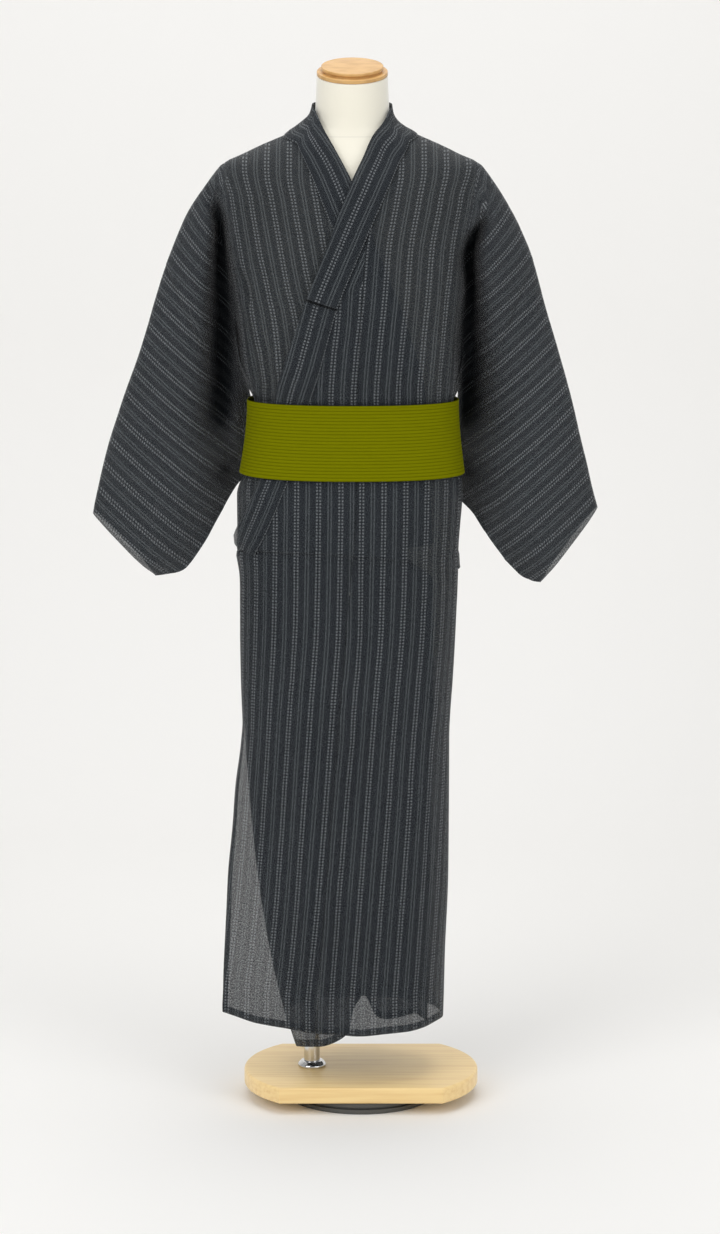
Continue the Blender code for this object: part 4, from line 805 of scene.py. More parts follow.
def body_panel(side, sizes, seam, leg, arm, sleeve_seam, surface, hem, stripe, stripe_start,
               under=()):
    """One length of cloth from the front hem over the shoulder to the back hem, and its wing."""
    front, round_side, back = sizes.front_columns, sizes.side_columns, sizes.back_columns
    rows = row_kinds(hem)
    spots, marks = row_spots(rows, sizes.row_step)

    def angles_of(levels):
        sewn = curve(seam, "x", levels) + side * SEAM_GAP / 2
        inner = side * np.maximum(side * leg_edge(leg, levels, -side), side * sewn)
        held = np.clip(levels, ARMHOLE_BOTTOM, ARMHOLE_TOP)
        valley = angle_at(curve(VALLEY, "right" if side > 0 else "left", held), held)
        centre = section(TRUNK, levels)[0]
        middle = angle_at(centre + side * SEAM_GAP / 2, levels, back=True)
        first = blend_angles(angle_at(inner, levels), valley, front)
        second = blend_angles(valley, side * pi - valley, round_side)
        third = blend_angles(side * pi - valley, middle, back)
        return np.concatenate([first, second[:, 1:], third[:, 1:]], axis=1)

    angles, heights, outs, levels = rows_at(rows, spots, angles_of)
    points = surface(heights, angles, outs + 0 * angles)
    shape = points.shape[:2]
    columns = shape[1]

    faces = grid_faces(*shape)
    row, column = faces[:, 0] // columns, faces[:, 0] % columns
    top, bottom = (marks[1 + CHEST_ROWS.index(z)] for z in (ARMHOLE_TOP, ARMHOLE_BOTTOM))
    first, last = front, front + round_side
    open_arm = (row >= top) & (row < bottom) & (column >= first) & (column < last)
    faces, column = faces[~open_arm], column[~open_arm]
    loop = [top * columns + c for c in range(first, last + 1)]
    loop += [r * columns + last for r in range(top + 1, bottom + 1)]
    loop += [bottom * columns + c for c in range(last - 1, first - 1, -1)]
    loop += [r * columns + first for r in range(bottom - 1, top, -1)]
    loop = np.array(loop)
    wing, rings, middle = wing_rings(points.reshape(-1, 3), loop, sizes, arm, sleeve_seam,
                                     bottom - top)
    wing_faces = np.concatenate([ring_faces(a, b) for a, b in zip(rings, rings[1:])])
    count = shape[0] * columns
    cloth = Cloth(wing, facing(np.concatenate([faces, wing_faces]), side), None)
    add_creases(cloth, middle=middle)
    if under:
        settle(cloth, shape, under, sizes.layer_gap)

    # the flat cloth: across from the guide stripe in front, from the centre seam behind
    laid = cloth.points[:count].reshape(*shape, 3)
    seam_column = front + round_side // 2
    crest_x = float(stripe["x"][-1])
    near_crest = smooth((heights - NEAR_CREST) / CREST_RUN)
    front_u = across_from(laid, stripe, levels)
    front_u = front_u * (1 - near_crest) + (points[..., 0] - crest_x) * near_crest
    back_run = run_along(laid[:, ::-1])[:, ::-1]
    back_u = points[:, -1:, 0] - crest_x + side * back_run
    back_u = back_u * (1 - near_crest) + (points[..., 0] - crest_x) * near_crest
    front_uv = np.stack([front_u, heights], axis=-1).reshape(-1, 2)
    back_uv = np.stack([back_u, 2 * TOP_ROW - heights], axis=-1).reshape(-1, 2)

    # the hem, turned up on the inside
    edge = (shape[0] - 1) * columns + np.arange(columns)
    lines = np.array([edge - i * columns for i in range(HEM_ROWS)])
    hem_points, hem_front = turned_in(cloth, lines, front_uv, sizes.hem)
    hem_back = turned_in(cloth, lines, back_uv, sizes.hem)[1]
    hem = hem_faces(edge, len(cloth.points), False)
    in_front = np.concatenate([column, np.tile(np.arange(columns - 1), 3)]) < seam_column
    spare = np.zeros((len(cloth.points) - count, 2))
    front_uv = np.concatenate([front_uv, spare, hem_front.reshape(-1, 2)])
    back_uv = np.concatenate([back_uv, spare, hem_back.reshape(-1, 2)])
    faces = np.concatenate([faces, hem])
    uv = np.where(in_front[:, None, None], front_uv[faces], back_uv[faces])
    loop_u = np.where(loop % columns < seam_column, front_uv[loop, 0], back_uv[loop, 0])
    wing_points = [cloth.points[ring] for ring in rings]
    wing_uv = wing_places(loop_u, wing_points, side, sizes, arm, sleeve_seam, stripe_start,
                          bottom - top)
    faces, uv = np.concatenate([faces, wing_faces]), np.concatenate([uv, wing_uv])
    points = np.concatenate([cloth.points, hem_points.reshape(-1, 3)])
    if side < 0:
        faces, uv = faces[:, ::-1], uv[:, ::-1]
    return Cloth(points, faces, uv), shape


def arm_ring(arm, reach, rows, around):
    """One ring of the arm's cloth in the order of the armhole's loop, and each point's share."""
    fold = np.array([curve(arm, "fold_x", reach), 0.0, curve(arm, "fold_height", reach)])
    bag = np.array([curve(arm, c, reach) for c in ("bag_x", "bag_y", "bag_height")])
    depth = curve(arm, "depth", reach)
    end = ARM_END_ANGLE
    turns = [np.linspace(-end, end, around + 1), np.linspace(end, pi - end, rows + 1)[1:]]
    turns += [np.linspace(pi - end, pi + end, around + 1)[1:]]
    turns += [np.linspace(pi + end, 2 * pi - end, rows + 1)[1:-1]]
    turn = np.concatenate(turns)
    share = (1 - power(np.cos(turn), 2 / ARM_SQUARE)) / 2
    ring = fold + (bag - fold) * share[:, None]
    flatness = 2 / ARM_SQUARE + BAG_FLATNESS * share**3
    middle = bag[1] * share**2
    ring[:, 1] = middle + depth * power(np.sin(turn), flatness)
    behind = np.where(np.sin(turn) > 0, 1, -1)
    return ring, share, behind, np.linalg.norm(bag - fold), middle


def arm_uv(arm, ring, share, behind, length):
    """A ring's place on the flat cloth: its stripes run down from the fold at a slant."""
    side = np.sign(arm["fold_x"][-1])
    along = FOLD_LINE
    held = np.clip(along, 0, arm["reach"][-1])
    past = (along - held)[:, None]  # where the fold's line runs on past both its ends
    fold = np.stack([curve(arm, "fold_x", held), curve(arm, "fold_height", held)], axis=1)
    fold += past * np.where(past > 0, (side * CUFF_RUN[0], CUFF_RUN[1]),
                            (side * SHOULDER_RUN[0], SHOULDER_RUN[1]))
    slant = np.interp(ring[:, 2], SLANT["height"], SLANT["angle"])
    off = side * (fold[None, :, 0] - ring[:, None, 0]) * np.sin(slant)[:, None]
    off -= (fold[None, :, 1] - ring[:, None, 2]) * np.cos(slant)[:, None]
    start = np.array([np.interp(0.0, row, along) for row in off])
    start = start * SLEEVE_STRETCH[int(side)]
    return np.stack([start, TOP_ROW + behind * share * length], axis=-1)


def ring_faces(first, second):
    """The four corners between two closed rings, of point numbers or of places."""
    return np.stack([first, second, np.roll(second, -1, 0), np.roll(first, -1, 0)], axis=1)


def wing_rings(points, loop, sizes, arm, sleeve_seam, rows):
    """The cloth between the armhole's line and the sleeve seam, and where its sides meet."""
    rings, middles, numbers = [points], [np.zeros(len(points))], [loop]
    count = len(points)
    for ring in range(1, sizes.wing_rings + 1):
        share = ring / sizes.wing_rings
        weight = smooth(share / WING_BLEND)
        target, *_, middle = arm_ring(arm, sleeve_seam * share, rows, sizes.side_columns)
        rings.append(points[loop] * (1 - weight) + target * weight)
        middles.append(middle * weight)
        numbers.append(count + np.arange(len(loop)))
        count += len(loop)
    return np.concatenate(rings), numbers, np.concatenate(middles)


def wing_places(loop_u, points, side, sizes, arm, sleeve_seam, start, rows):
    """The wing's corners on the flat cloth: the chest's stripes turn into the sleeve's."""
    places = []
    valley = RIGHT_VALLEY if side < 0 else LEFT_VALLEY
    for ring in range(sizes.wing_rings + 1):
        share = ring / sizes.wing_rings
        _, down, behind, length, _ = arm_ring(arm, sleeve_seam * share, rows,
                                              sizes.side_columns)
        here = points[ring]
        off = side * (here[:, 0] - curve(valley, "x", here[:, 2]))
        off += TURN_REACH * smooth((TURN_TOP - here[:, 2]) / TURN_TOP_RUN)
        weight = smooth(0.5 + off / TURN_WIDTH) * smooth(share / TURN_START)
        place = arm_uv(arm, here, down, behind, length)
        own = loop_u + side * sleeve_seam * share
        place[:, 0] = own * (1 - weight) + (side * place[:, 0] + start) * weight
        places.append(place)
    return np.concatenate([ring_faces(a, b) for a, b in zip(places, places[1:])])


def sleeve_cloth(side, sizes, arm, sleeve_seam, start):
    """The sleeve's bag, from the seam to the open cuff, with its cuff turned in."""
    rows = sizes.sleeve_rows
    cuff = float(arm["reach"][-1])
    reaches = np.linspace(sleeve_seam + SLEEVE_GAP, cuff, sizes.sleeve_rings + 1)
    points, uv, middles = [], [], []
    for reach in reaches:
        ring, share, behind, length, middle = arm_ring(arm, reach, rows, sizes.side_columns)
        spot = arm_uv(arm, ring, share, behind, length)
        spot[:, 0] = side * spot[:, 0] + start
        cut = CUFF_ROUND * max(0.0, 1 - (cuff - reach) / CUFF_REACH) ** 2 * smooth(share) * share
        fold = np.array([curve(arm, "fold_x", reach), 0.0, curve(arm, "fold_height", reach)])
        ring = ring + (fold - ring) * cut[:, None] * np.array([1.0, 0.0, 1.0])
        points.append(ring)
        uv.append(spot)
        middles.append(middle)
    count = len(points[0])
    faces, corners = [], []
    for i in range(len(points) - 1):
        first = np.arange(count) + i * count
        faces.append(ring_faces(first, first + count))
        corners.append(ring_faces(uv[i], uv[i + 1]))
    faces, corners = np.concatenate(faces), np.concatenate(corners)
    if side < 0:
        faces, corners = faces[:, ::-1], corners[:, ::-1]
    cloth = Cloth(np.concatenate(points), faces, corners)
    add_creases(cloth, SLEEVE_WAVES, np.concatenate(middles))
    return cloth


def okumi_cloth(side, sizes, edge_of, free_from, seam, surface, hem, stripe, under=()):
    """The front's overlap panel, from its seam to its free edge or to under the collar."""
    rows = [row for row in row_kinds(hem) if row[1] <= OKUMI_TOP]
    spots, _ = row_spots(rows, sizes.row_step)

    def angles_of(levels):
        start = angle_at(curve(seam, "x", levels) - side * SEAM_GAP / 2, levels)
        return blend_angles(start, edge_of(levels), sizes.okumi_columns)

    angles, heights, outs, levels = rows_at(rows, spots, angles_of)
    points = surface(heights, angles, outs + 0 * angles)
    shape = points.shape[:2]
    faces = grid_faces(*shape)
    cloth = Cloth(points.reshape(-1, 3), facing(faces, -side), None)
    add_creases(cloth)
    if under:
        settle(cloth, shape, under, sizes.layer_gap)
    across = across_from(cloth.points.reshape(*shape, 3), stripe, levels)
    uv = np.stack([across, heights], axis=-1).reshape(-1, 2)
    numbers = np.arange(shape[0] * shape[1]).reshape(shape)
    free = int(np.argmax(levels < free_from))
    for lines, width, turned in ((numbers[::-1][:HEM_ROWS], sizes.hem, False),
                                 (numbers[free:, ::-1].T[:EDGE_COLUMNS], sizes.front_hem, True)):
        count = len(cloth.points)
        new, spot = turned_in(cloth, lines, uv, width)
        faces = np.concatenate([faces, hem_faces(lines[0], count, turned)])
        cloth = Cloth(np.concatenate([cloth.points, new.reshape(-1, 3)]),
                      facing(faces, -side), None)
        uv = np.concatenate([uv, spot.reshape(-1, 2)])
    cloth.uv = uv[cloth.faces]
    return cloth


def left_okumi_edge(levels):
    end = LEFT_LEG["outer_height"][-1]
    return np.where(levels > end, angle_at(leg_edge(LEFT_LEG, levels, -1), levels), FLAP_EDGE)


def right_okumi_edge(levels):
    end = RIGHT_LEG["outer_height"][-1]
    under_band = angle_at(leg_edge(RIGHT_LEG, levels, 1), levels)
    return np.where(levels > end, under_band,
                    angle_at(curve(RIGHT_OKUMI_EDGE, "x", levels), levels))


# ---- collar ---------------------------------------------------------------------------------

def leg_path(leg, side, rows):
    """Angles and heights of both edges of a leg at places along it."""
    inner_x, inner, outer_x, outer = (
        curve(leg, name, rows) for name in ("inner_x", "inner_height", "outer_x", "outer_height")
    )
    at_side = smooth(1 - rows)
    inner_angle = angle_at(inner_x, inner) * (1 - at_side) + side * pi / 2 * at_side
    outer_angle = angle_at(outer_x, outer) * (1 - at_side) + side * pi / 2 * at_side
    return np.stack([inner_angle, inner, outer_angle, outer], axis=1)


def neck_path(steps):
    """The same round the back of the neck, from the wearer's left side to the right."""
    share = np.arange(1, steps) / steps
    lift = np.sin(pi * share)
    side_top, left, right = LEFT_LEG["inner_height"][0], *(
        leg["outer_height"][0] for leg in (LEFT_LEG, RIGHT_LEG))
    top = side_top + (NECK_BAND_TOP - side_top) * lift
    low = left + (right - left) * share
    bottom = low + (NECK_BAND_BOTTOM - low) * lift
    angle = pi / 2 + pi * share
    return np.stack([angle, top, angle, bottom], axis=1)


def band_points(path, surface, columns):
    share = np.arange(columns + 1)[None] / columns
    angle = path[:, :1] + (path[:, 2:3] - path[:, :1]) * share
    height = path[:, 1:2] + (path[:, 3:4] - path[:, 1:2]) * share
    return surface(height, angle, PLY + 0 * angle)


def band_cloth(points):
    """A band of points with its flat cloth: U from the outer edge, V along it."""
    rows, columns = points.shape[:2]
    middle = points[:, columns // 2]
    along = np.concatenate([[0], np.cumsum(np.linalg.norm(np.diff(middle, axis=0), axis=1))])
    run = run_along(points)
    inward = run[:, -1:] - run + COLLAR_START
    uv = np.stack([inward, np.broadcast_to(along[:, None], run.shape)], axis=-1).reshape(-1, 2)
    faces = grid_faces(rows, columns)[:, ::-1]
    return Cloth(points.reshape(-1, 3), faces, uv[faces])


# ---- meshes ---------------------------------------------------------------------------------

def sizes_now():
    return bpy.context.scene.yukata_sizes


def colour_of(name):
    """A named sRGB hex value turned to linear, with its alpha."""
    text = getattr(bpy.context.scene.yukata_colours, name).lstrip("#")
    parts = [int(text[i:i + 2], 16) / 255 for i in (0, 2, 4)]
    linear = [c / 12.92 if c <= 0.04045 else ((c + 0.055) / 1.055) ** 2.4 for c in parts]
    return (*linear, 1.0)


def mesh_of(name, points, faces, uv=None, light=None):
    mesh = bpy.data.meshes.new(name)
    mesh.from_pydata(np.asarray(points).tolist(), [], [list(face) for face in faces])
    # the light attribute holds painted shade, which the cotton's colour is multiplied by
    if light is not None:
        mesh.attributes.new("light", "FLOAT", "POINT").data.foreach_set("value", light)
    if uv is not None:
        layer = mesh.uv_layers.new(name="cloth")
        layer.data.foreach_set("uv", np.asarray(uv, float).reshape(-1))
    mesh.shade_smooth()
    return mesh


def finished(obj, material):
    """The object's mesh as its modifiers leave it, in a plain object at the origin."""
    if obj.name not in bpy.context.scene.collection.all_objects:
        bpy.context.scene.collection.objects.link(obj)
    bpy.context.view_layer.update()
    evaluated = obj.evaluated_get(bpy.context.evaluated_depsgraph_get())
    mesh = bpy.data.meshes.new_from_object(evaluated)
    mesh.transform(obj.matrix_world)
    name = obj.name
    bpy.data.objects.remove(obj)
    mesh.name = name
    mesh.materials.clear()
    mesh.materials.append(material)
    piece = bpy.data.objects.new(name, mesh)
    bpy.context.scene.collection.objects.link(piece)
    return piece


def cloth_piece(name, cloth, node_name, flat, area=None, dark=()):
    """A sheet with a real cloth's thickness; the size it was cut to (flat, area) is not used."""
    used = np.unique(cloth.faces)
    order = np.zeros(len(cloth.points), int)
    order[used] = np.arange(len(used))
    # painted shade: darker deep in the folds, and a painted shadow at the points listed in dark
    light = painted_fold_light(cloth.points)
    light[list(dark)] = PAINTED_EDGE_LIGHT
    obj = bpy.data.objects.new(name, mesh_of(name, cloth.points[used], order[cloth.faces],
                                             cloth.uv, light[used]))
    wall = obj.modifiers.new("cloth", "SOLIDIFY")
    wall.thickness, wall.offset, wall.use_even_offset = sizes_now().cloth, 1.0, False
    piece = finished(obj, cotton())
    place_piece(piece, "striped_cotton", node_name)
    return piece


def place_piece(piece, slot, *nodes):
    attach(piece, "root")
    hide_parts(*nodes)


# ---- materials ------------------------------------------------------------------------------

def node(tree, kind, links=(), **settings):
    """Adds a node with its settings, values and links.

    Settings are node properties; links pair an input's name or number with a socket or value.
    """
    made = tree.nodes.new(kind)
    for name, value in settings.items():
        setattr(made, name, value)
    for socket, source in links:
        if isinstance(source, bpy.types.NodeSocket):
            tree.links.new(source, made.inputs[socket])
        else:
            made.inputs[socket].default_value = source
    return made


def maths(tree, operation, *values):
    links = [(i, value) for i, value in enumerate(values)]
    return node(tree, "ShaderNodeMath", links, operation=operation).outputs[0]


def new_material(name, roughness, metallic=0.0, **values):
    """A material with a Principled shader, whose constant values are set on its own sockets."""
    material = bpy.data.materials.new(name)
    material.use_nodes = True
    shader = material.node_tree.nodes["Principled BSDF"]
    shader.inputs["Roughness"].default_value = roughness
    shader.inputs["Metallic"].default_value = metallic
    for socket, value in values.items():
        shader.inputs[socket.replace("_", " ")].default_value = value
    return material, material.node_tree, shader


def blend(tree, share, first, second):
    """A colour between two, by a share."""
    links = [(0, share), (6, first), (7, second)]
    return node(tree, "ShaderNodeMix", links, data_type="RGBA").outputs[2]


def ramp(tree, value, start, end, low=0.0, high=1.0):
    """A value between low and high, as another goes from start to end."""
    links = [("Value", value), ("From Min", start), ("From Max", end), ("To Min", low),
             ("To Max", high)]
    return node(tree, "ShaderNodeMapRange", links).outputs["Result"]


def band_at(tree, value, centre, half, soft):
    """1 within half of the centre, falling to 0 over a soft edge."""
    off = maths(tree, "ABSOLUTE", maths(tree, "SUBTRACT", value, centre))
    return ramp(tree, off, half - soft, half + soft, 1.0, 0.0)


def object_place(tree):
    return node(tree, "ShaderNodeTexCoord").outputs["Object"]


def cloth_place(tree):
    return node(tree, "ShaderNodeUVMap", uv_map="cloth").outputs[0]


def speckle(tree, place, scale, detail=2.0, stretch=None):
    """Noise at a place, stretched first where it has a grain."""
    if stretch:
        place = node(tree, "ShaderNodeMapping", [("Vector", place), ("Scale", stretch)]).outputs[0]
    links = [("Vector", place), ("Scale", scale), ("Detail", detail)]
    return node(tree, "ShaderNodeTexNoise", links).outputs["Fac"]


def paint(tree, shader, colour):
    tree.links.new(colour, shader.inputs["Base Color"])


def roughen(tree, shader, height, strength, distance=0.0003):
    """Bumps the surface by a height."""
    links = [("Height", height), ("Strength", strength), ("Distance", distance)]
    tree.links.new(node(tree, "ShaderNodeBump", links).outputs[0], shader.inputs["Normal"])


def striped_cotton(name):
    """Plain-woven yarn-dyed cotton: an ink ground with paler warp stripes.

    Dotted pairs of thicker yarn and plain pairs of thin yarn take turns across the cloth. It is
    thin, so one layer lets a little light through, and matt with a faint fuzz at its edges. The
    light attribute is painted shade: it darkens the colour deep in the folds beside the chest and
    in the gap under the over-collar's folded end, and there also makes the cloth opaque and dims
    its sheen.
    """
    material, tree, shader = new_material(name, 0.86, Sheen_Roughness=0.5)
    place, period = cloth_place(tree), sizes_now().stripe_period
    split = node(tree, "ShaderNodeSeparateXYZ", [(0, place)])
    across, along = split.outputs[0], split.outputs[1]
    turn = maths(tree, "FRACT", maths(tree, "ADD", maths(tree, "DIVIDE", across, period), 0.25))
    spot = maths(tree, "MULTIPLY", maths(tree, "SUBTRACT", turn, 0.25), period)
    pair = sizes_now().stripe_pair / 2
    off = maths(tree, "ABSOLUTE", spot)
    dot_half, faint_half, plain_half, plain_pair = 0.0013, 0.0008, 0.0010, pair * 0.9
    dots = band_at(tree, off, pair, dot_half, 0.0005)
    beat = maths(tree, "FRACT", maths(tree, "DIVIDE", along, sizes_now().dot_pitch))
    dots = maths(tree, "MULTIPLY", dots, band_at(tree, beat, 0.5, 0.25, 0.10))
    faint = band_at(tree, off, pair, faint_half, 0.0004)
    plain_off = maths(tree, "ABSOLUTE", maths(tree, "SUBTRACT", spot, period / 2))
    plain = band_at(tree, plain_off, plain_pair, plain_half, 0.0005)
    slub = speckle(tree, place, 1.0, stretch=(60.0, 900.0, 1.0))
    thread = speckle(tree, place, 1.0, stretch=(1300.0, 26.0, 1.0))
    worn = speckle(tree, object_place(tree), 5.0, 3.0)
    weave = maths(tree, "ADD", maths(tree, "MULTIPLY", slub, 0.55),
                  maths(tree, "MULTIPLY", thread, 0.45))
    base = blend(tree, maths(tree, "ADD", maths(tree, "MULTIPLY", weave, 1.1), 0.15),
                 colour_of("ground_deep"), colour_of("ground"))
    for share, most, yarn in ((plain, 0.95, "plain_yarn"), (faint, 0.15, "plain_yarn"),
                              (dots, 0.95, "dotted_yarn")):
        base = blend(tree, maths(tree, "MULTIPLY", share, most), base, colour_of(yarn))
    shade = ramp(tree, worn, 0.3, 0.7, 0.93, 1.05)
    # painted shade: the light attribute darkens the colour in the folds
    light = node(tree, "ShaderNodeAttribute", attribute_name="light").outputs["Fac"]
    tint = node(tree, "ShaderNodeVectorMath", [(0, base)], operation="SCALE")
    tree.links.new(maths(tree, "MULTIPLY", shade, light), tint.inputs["Scale"])
    paint(tree, shader, tint.outputs[0])
    # the gauze's gaps are uneven; where the colour has deep painted shade in a fold, the cloth is
    # made opaque and its sheen and specular are dimmed with the painted shade
    gauze = speckle(tree, place, 480.0, 1.0)
    cover = ramp(tree, gauze, 0.35, 0.65, sizes_now().cover - 0.13, sizes_now().cover + 0.13)
    dark = maths(tree, "SUBTRACT", 1.1, light)
    tree.links.new(maths(tree, "MAXIMUM", cover, dark), shader.inputs["Alpha"])
    for socket, value in (("Sheen Weight", 0.12), ("Specular IOR Level", 0.25)):
        tree.links.new(maths(tree, "MULTIPLY", light, value), shader.inputs[socket])
    height = maths(tree, "ADD", maths(tree, "MULTIPLY", weave, 0.8),
                   maths(tree, "MULTIPLY", maths(tree, "ADD", dots, plain), 0.35))
    roughen(tree, shader, height, 0.2, 0.0004)
    return material


def ribbed_obi():
    """Yarn-dyed rib-woven silk mix: thick weft cords give it the ribs, with a soft sheen. The
    valleys between the ribs are painted darker, as painted shade.
    """
    material, tree, shader = new_material(
        "rib woven obi silk mix", 0.6, Specular_IOR_Level=0.0, Sheen_Weight=0.25,
        Sheen_Roughness=0.4, Sheen_Tint=(0.35, 0.36, 0.05, 1.0))
    place = cloth_place(tree)
    split = node(tree, "ShaderNodeSeparateXYZ", [(0, place)])
    rib = maths(tree, "FRACT", maths(tree, "MULTIPLY", split.outputs[1], 1 / rib_pitch()))
    # painted shade in the valleys between the ribs
    valley = maths(tree, "SUBTRACT", 1.0, band_at(tree, rib, 0.5, 0.34, 0.14))
    yarn = speckle(tree, place, 1.0, stretch=(1500.0, 160.0, 1.0))
    drift = speckle(tree, place, 1.0, stretch=(22.0, 120.0, 1.0))
    base = blend(tree, maths(tree, "MULTIPLY", valley, 0.8), colour_of("obi"),
                 colour_of("obi_rib_shade"))
    base = blend(tree, maths(tree, "MULTIPLY", drift, 0.2), base, colour_of("obi_light"))
    paint(tree, shader, base)
    roughen(tree, shader, yarn, 0.22)
    return material


def rib_pitch():
    return (OBI_TOP - OBI_BOTTOM) / sizes_now().obi_ribs


def form_jersey():
    """Cotton jersey stretched over the form: matt, cream, with a very fine knit."""
    material, tree, shader = new_material("stretched cotton jersey", 0.82, Sheen_Weight=1.0,
                                          Sheen_Roughness=0.45, Specular_IOR_Level=0.3)
    place = object_place(tree)
    knit, broad = speckle(tree, place, 900.0), speckle(tree, place, 9.0)
    base = blend(tree, broad, colour_of("jersey"), colour_of("jersey_shade"))
    height = node(tree, "ShaderNodeSeparateXYZ", [(0, place)]).outputs[2]
    seam = band_at(tree, height, JERSEY_SEAM, 0.0006, 0.0006)
    seam = maths(tree, "MULTIPLY", seam, 0.12)
    paint(tree, shader, blend(tree, seam, base, colour_of("thread")))
    roughen(tree, shader, knit, 0.12)
    return material


def planed_wood(name, light, dark, scale, ring=0.006):
    """Planed softwood with a satin lacquer: long grain along X, streaks of late wood."""
    material, tree, shader = new_material(name, 0.42, Coat_Weight=0.25, Coat_Roughness=0.25)
    place = object_place(tree)
    drawn = node(tree, "ShaderNodeMapping", [("Vector", place), ("Scale", scale)]).outputs[0]
    streaks, fibre = speckle(tree, drawn, 0.8 / ring), speckle(tree, drawn, 520.0, 3.0)
    late = maths(tree, "MULTIPLY", ramp(tree, streaks, 0.42, 0.75), 0.6)
    base = blend(tree, late, colour_of(light), colour_of(dark))
    base = blend(tree, maths(tree, "MULTIPLY", fibre, 0.25), base, colour_of(dark))
    paint(tree, shader, base)
    roughen(tree, shader, fibre, 0.1)
    return material


def bright_chrome():
    """Chromium plate on drawn steel tube: a clear mirror with faint lengthwise draw lines."""
    material, tree, shader = new_material("chromium plated steel", 0.12, 1.0)
    shader.inputs["Base Color"].default_value = colour_of("chrome")
    lines = speckle(tree, object_place(tree), 1.0, 1.0, (900.0, 900.0, 14.0))
    roughen(tree, shader, lines, 0.05, 0.0002)
    return material


def moulded_plastic():
    """Injection moulded black plastic with a fine spark-eroded grain."""
    material, tree, shader = new_material("moulded black plastic", 0.5)
    shader.inputs["Base Color"].default_value = colour_of("plastic")
    roughen(tree, shader, speckle(tree, object_place(tree), 1400.0), 0.15)
    return material


def sewing_thread():
    """Spun polyester thread: dark, a little brighter than the cloth, with a soft gleam."""
    material, _, shader = new_material("spun sewing thread", 0.6, Sheen_Weight=0.2)
    shader.inputs["Base Color"].default_value = colour_of("thread")
    return material


def studio_paper():
    """Matt pale background paper, swept up behind. Its back is clear, to show the robe's back."""
    material, tree, shader = new_material("matt background paper", 0.95, Specular_IOR_Level=0.1)
    shader.inputs["Base Color"].default_value = colour_of("paper")
    back = node(tree, "ShaderNodeNewGeometry").outputs["Backfacing"]
    tree.links.new(maths(tree, "SUBTRACT", 1.0, back), shader.inputs["Alpha"])
    return material


# ---- property groups ------------------------------------------------------------------------

def length(label, use, value):
    return FloatProperty(name=label, description=use, default=value, subtype="DISTANCE",
                         unit="LENGTH")


def count(label, use, value):
    return IntProperty(name=label, description=use, default=value)


def hex_colour(label, use, value):
    return StringProperty(name=label, description=use, default=value)


class YukataSizes(bpy.types.PropertyGroup):
    """Sizes that change the cloth's look and the mesh's fineness."""

    cloth: length("Cloth thickness", "Thickness of the cotton", 0.0005)
    cover: FloatProperty(
        name="Cover", description="How much of the light each side of the cloth stops",
        default=0.67, min=0.0, max=1.0, subtype="FACTOR")
    layer_gap: length("Layer gap", "Least gap between two layers of cloth", 0.0004)
    stripe_period: length("Stripe period", "From one dotted stripe to the next", 0.0334)
    stripe_pair: length("Stripe pair", "Between the two yarns of one stripe", 0.0050)
    dot_pitch: length("Dot pitch", "From one woven dot to the next", 0.0048)
    hem: length("Hem", "Width of the turned-up hem", 0.011)
    front_hem: length("Front hem", "Width of the turned-in front edge", 0.008)
    row_step: length("Row step", "Height of one mesh row of the panels", 0.0065)
    front_columns: count("Front columns", "Mesh columns across a front panel", 34)
    side_columns: count("Side columns", "Mesh columns round a side", 14)
    back_columns: count("Back columns", "Mesh columns across half the back", 30)
    okumi_columns: count("Overlap columns", "Mesh columns across an overlap panel", 28)
    wing_rings: count("Wing rings", "Mesh rings from the armhole to the sleeve", 26)
    sleeve_rings: count("Sleeve rings", "Mesh rings along a sleeve", 64)
    sleeve_rows: count("Sleeve rows", "Mesh rows down each side of a sleeve", 52)
    collar_columns: count("Collar columns", "Mesh columns across the collar", 8)
    obi_ribs: count("Obi ribs", "Woven ribs across the obi", 23)
    rib_height: length("Rib height", "How far a rib stands out", 0.0009)
    stitch_pitch: length("Stitch pitch", "From one hand stitch to the next", 0.006)


class YukataColours(bpy.types.PropertyGroup):
    """sRGB hex colours of the cloth, the form and the stand."""

    ground: hex_colour("Ground", "Ink ground of the cotton", "#2C3136")
    ground_deep: hex_colour("Deep ground", "Darkest yarn of the ground", "#22262B")
    dotted_yarn: hex_colour("Dotted yarn", "Thick pale yarn of the dotted stripe", "#74787B")
    plain_yarn: hex_colour("Plain yarn", "Thin pale yarn of the plain stripe", "#4F5457")
    thread: hex_colour("Thread", "Sewing thread", "#2A2E33")
    obi: hex_colour("Obi", "Olive yarn of the obi", "#717304")
    # painted shade between the obi's ribs
    obi_rib_shade: hex_colour("Obi valleys", "Between the obi's ribs", "#2B2D00")
    obi_light: hex_colour("Obi light yarn", "Lighter yarn of the obi", "#868906")
    jersey: hex_colour("Jersey", "Cream cover of the form", "#F0ECDD")
    jersey_shade: hex_colour("Jersey shade", "Slightly darker cover", "#ECE7D6")
    wood_light: hex_colour("Wood", "Early wood of the board", "#FFE0A0")
    wood_dark: hex_colour("Late wood", "Late wood of the board", "#E3B876")
    cap_light: hex_colour("Cap wood", "Early wood of the neck cap", "#DDB170")
    cap_dark: hex_colour("Cap late wood", "Late wood of the neck cap", "#A9752F")
    chrome: hex_colour("Chrome", "Plated pole", "#D8D8D8")
    plastic: hex_colour("Plastic", "Foot disc", "#504F4B")
    paper: hex_colour("Paper", "Background", "#F6F5F3")


# ---- operators ------------------------------------------------------------------------------

CLOTHS = {}  # the settled sheets, for the pieces that lie on them


def cotton():
    """The robe's cotton, made once."""
    name = "yarn dyed plain weave cotton"
    return bpy.data.materials.get(name) or striped_cotton(name)


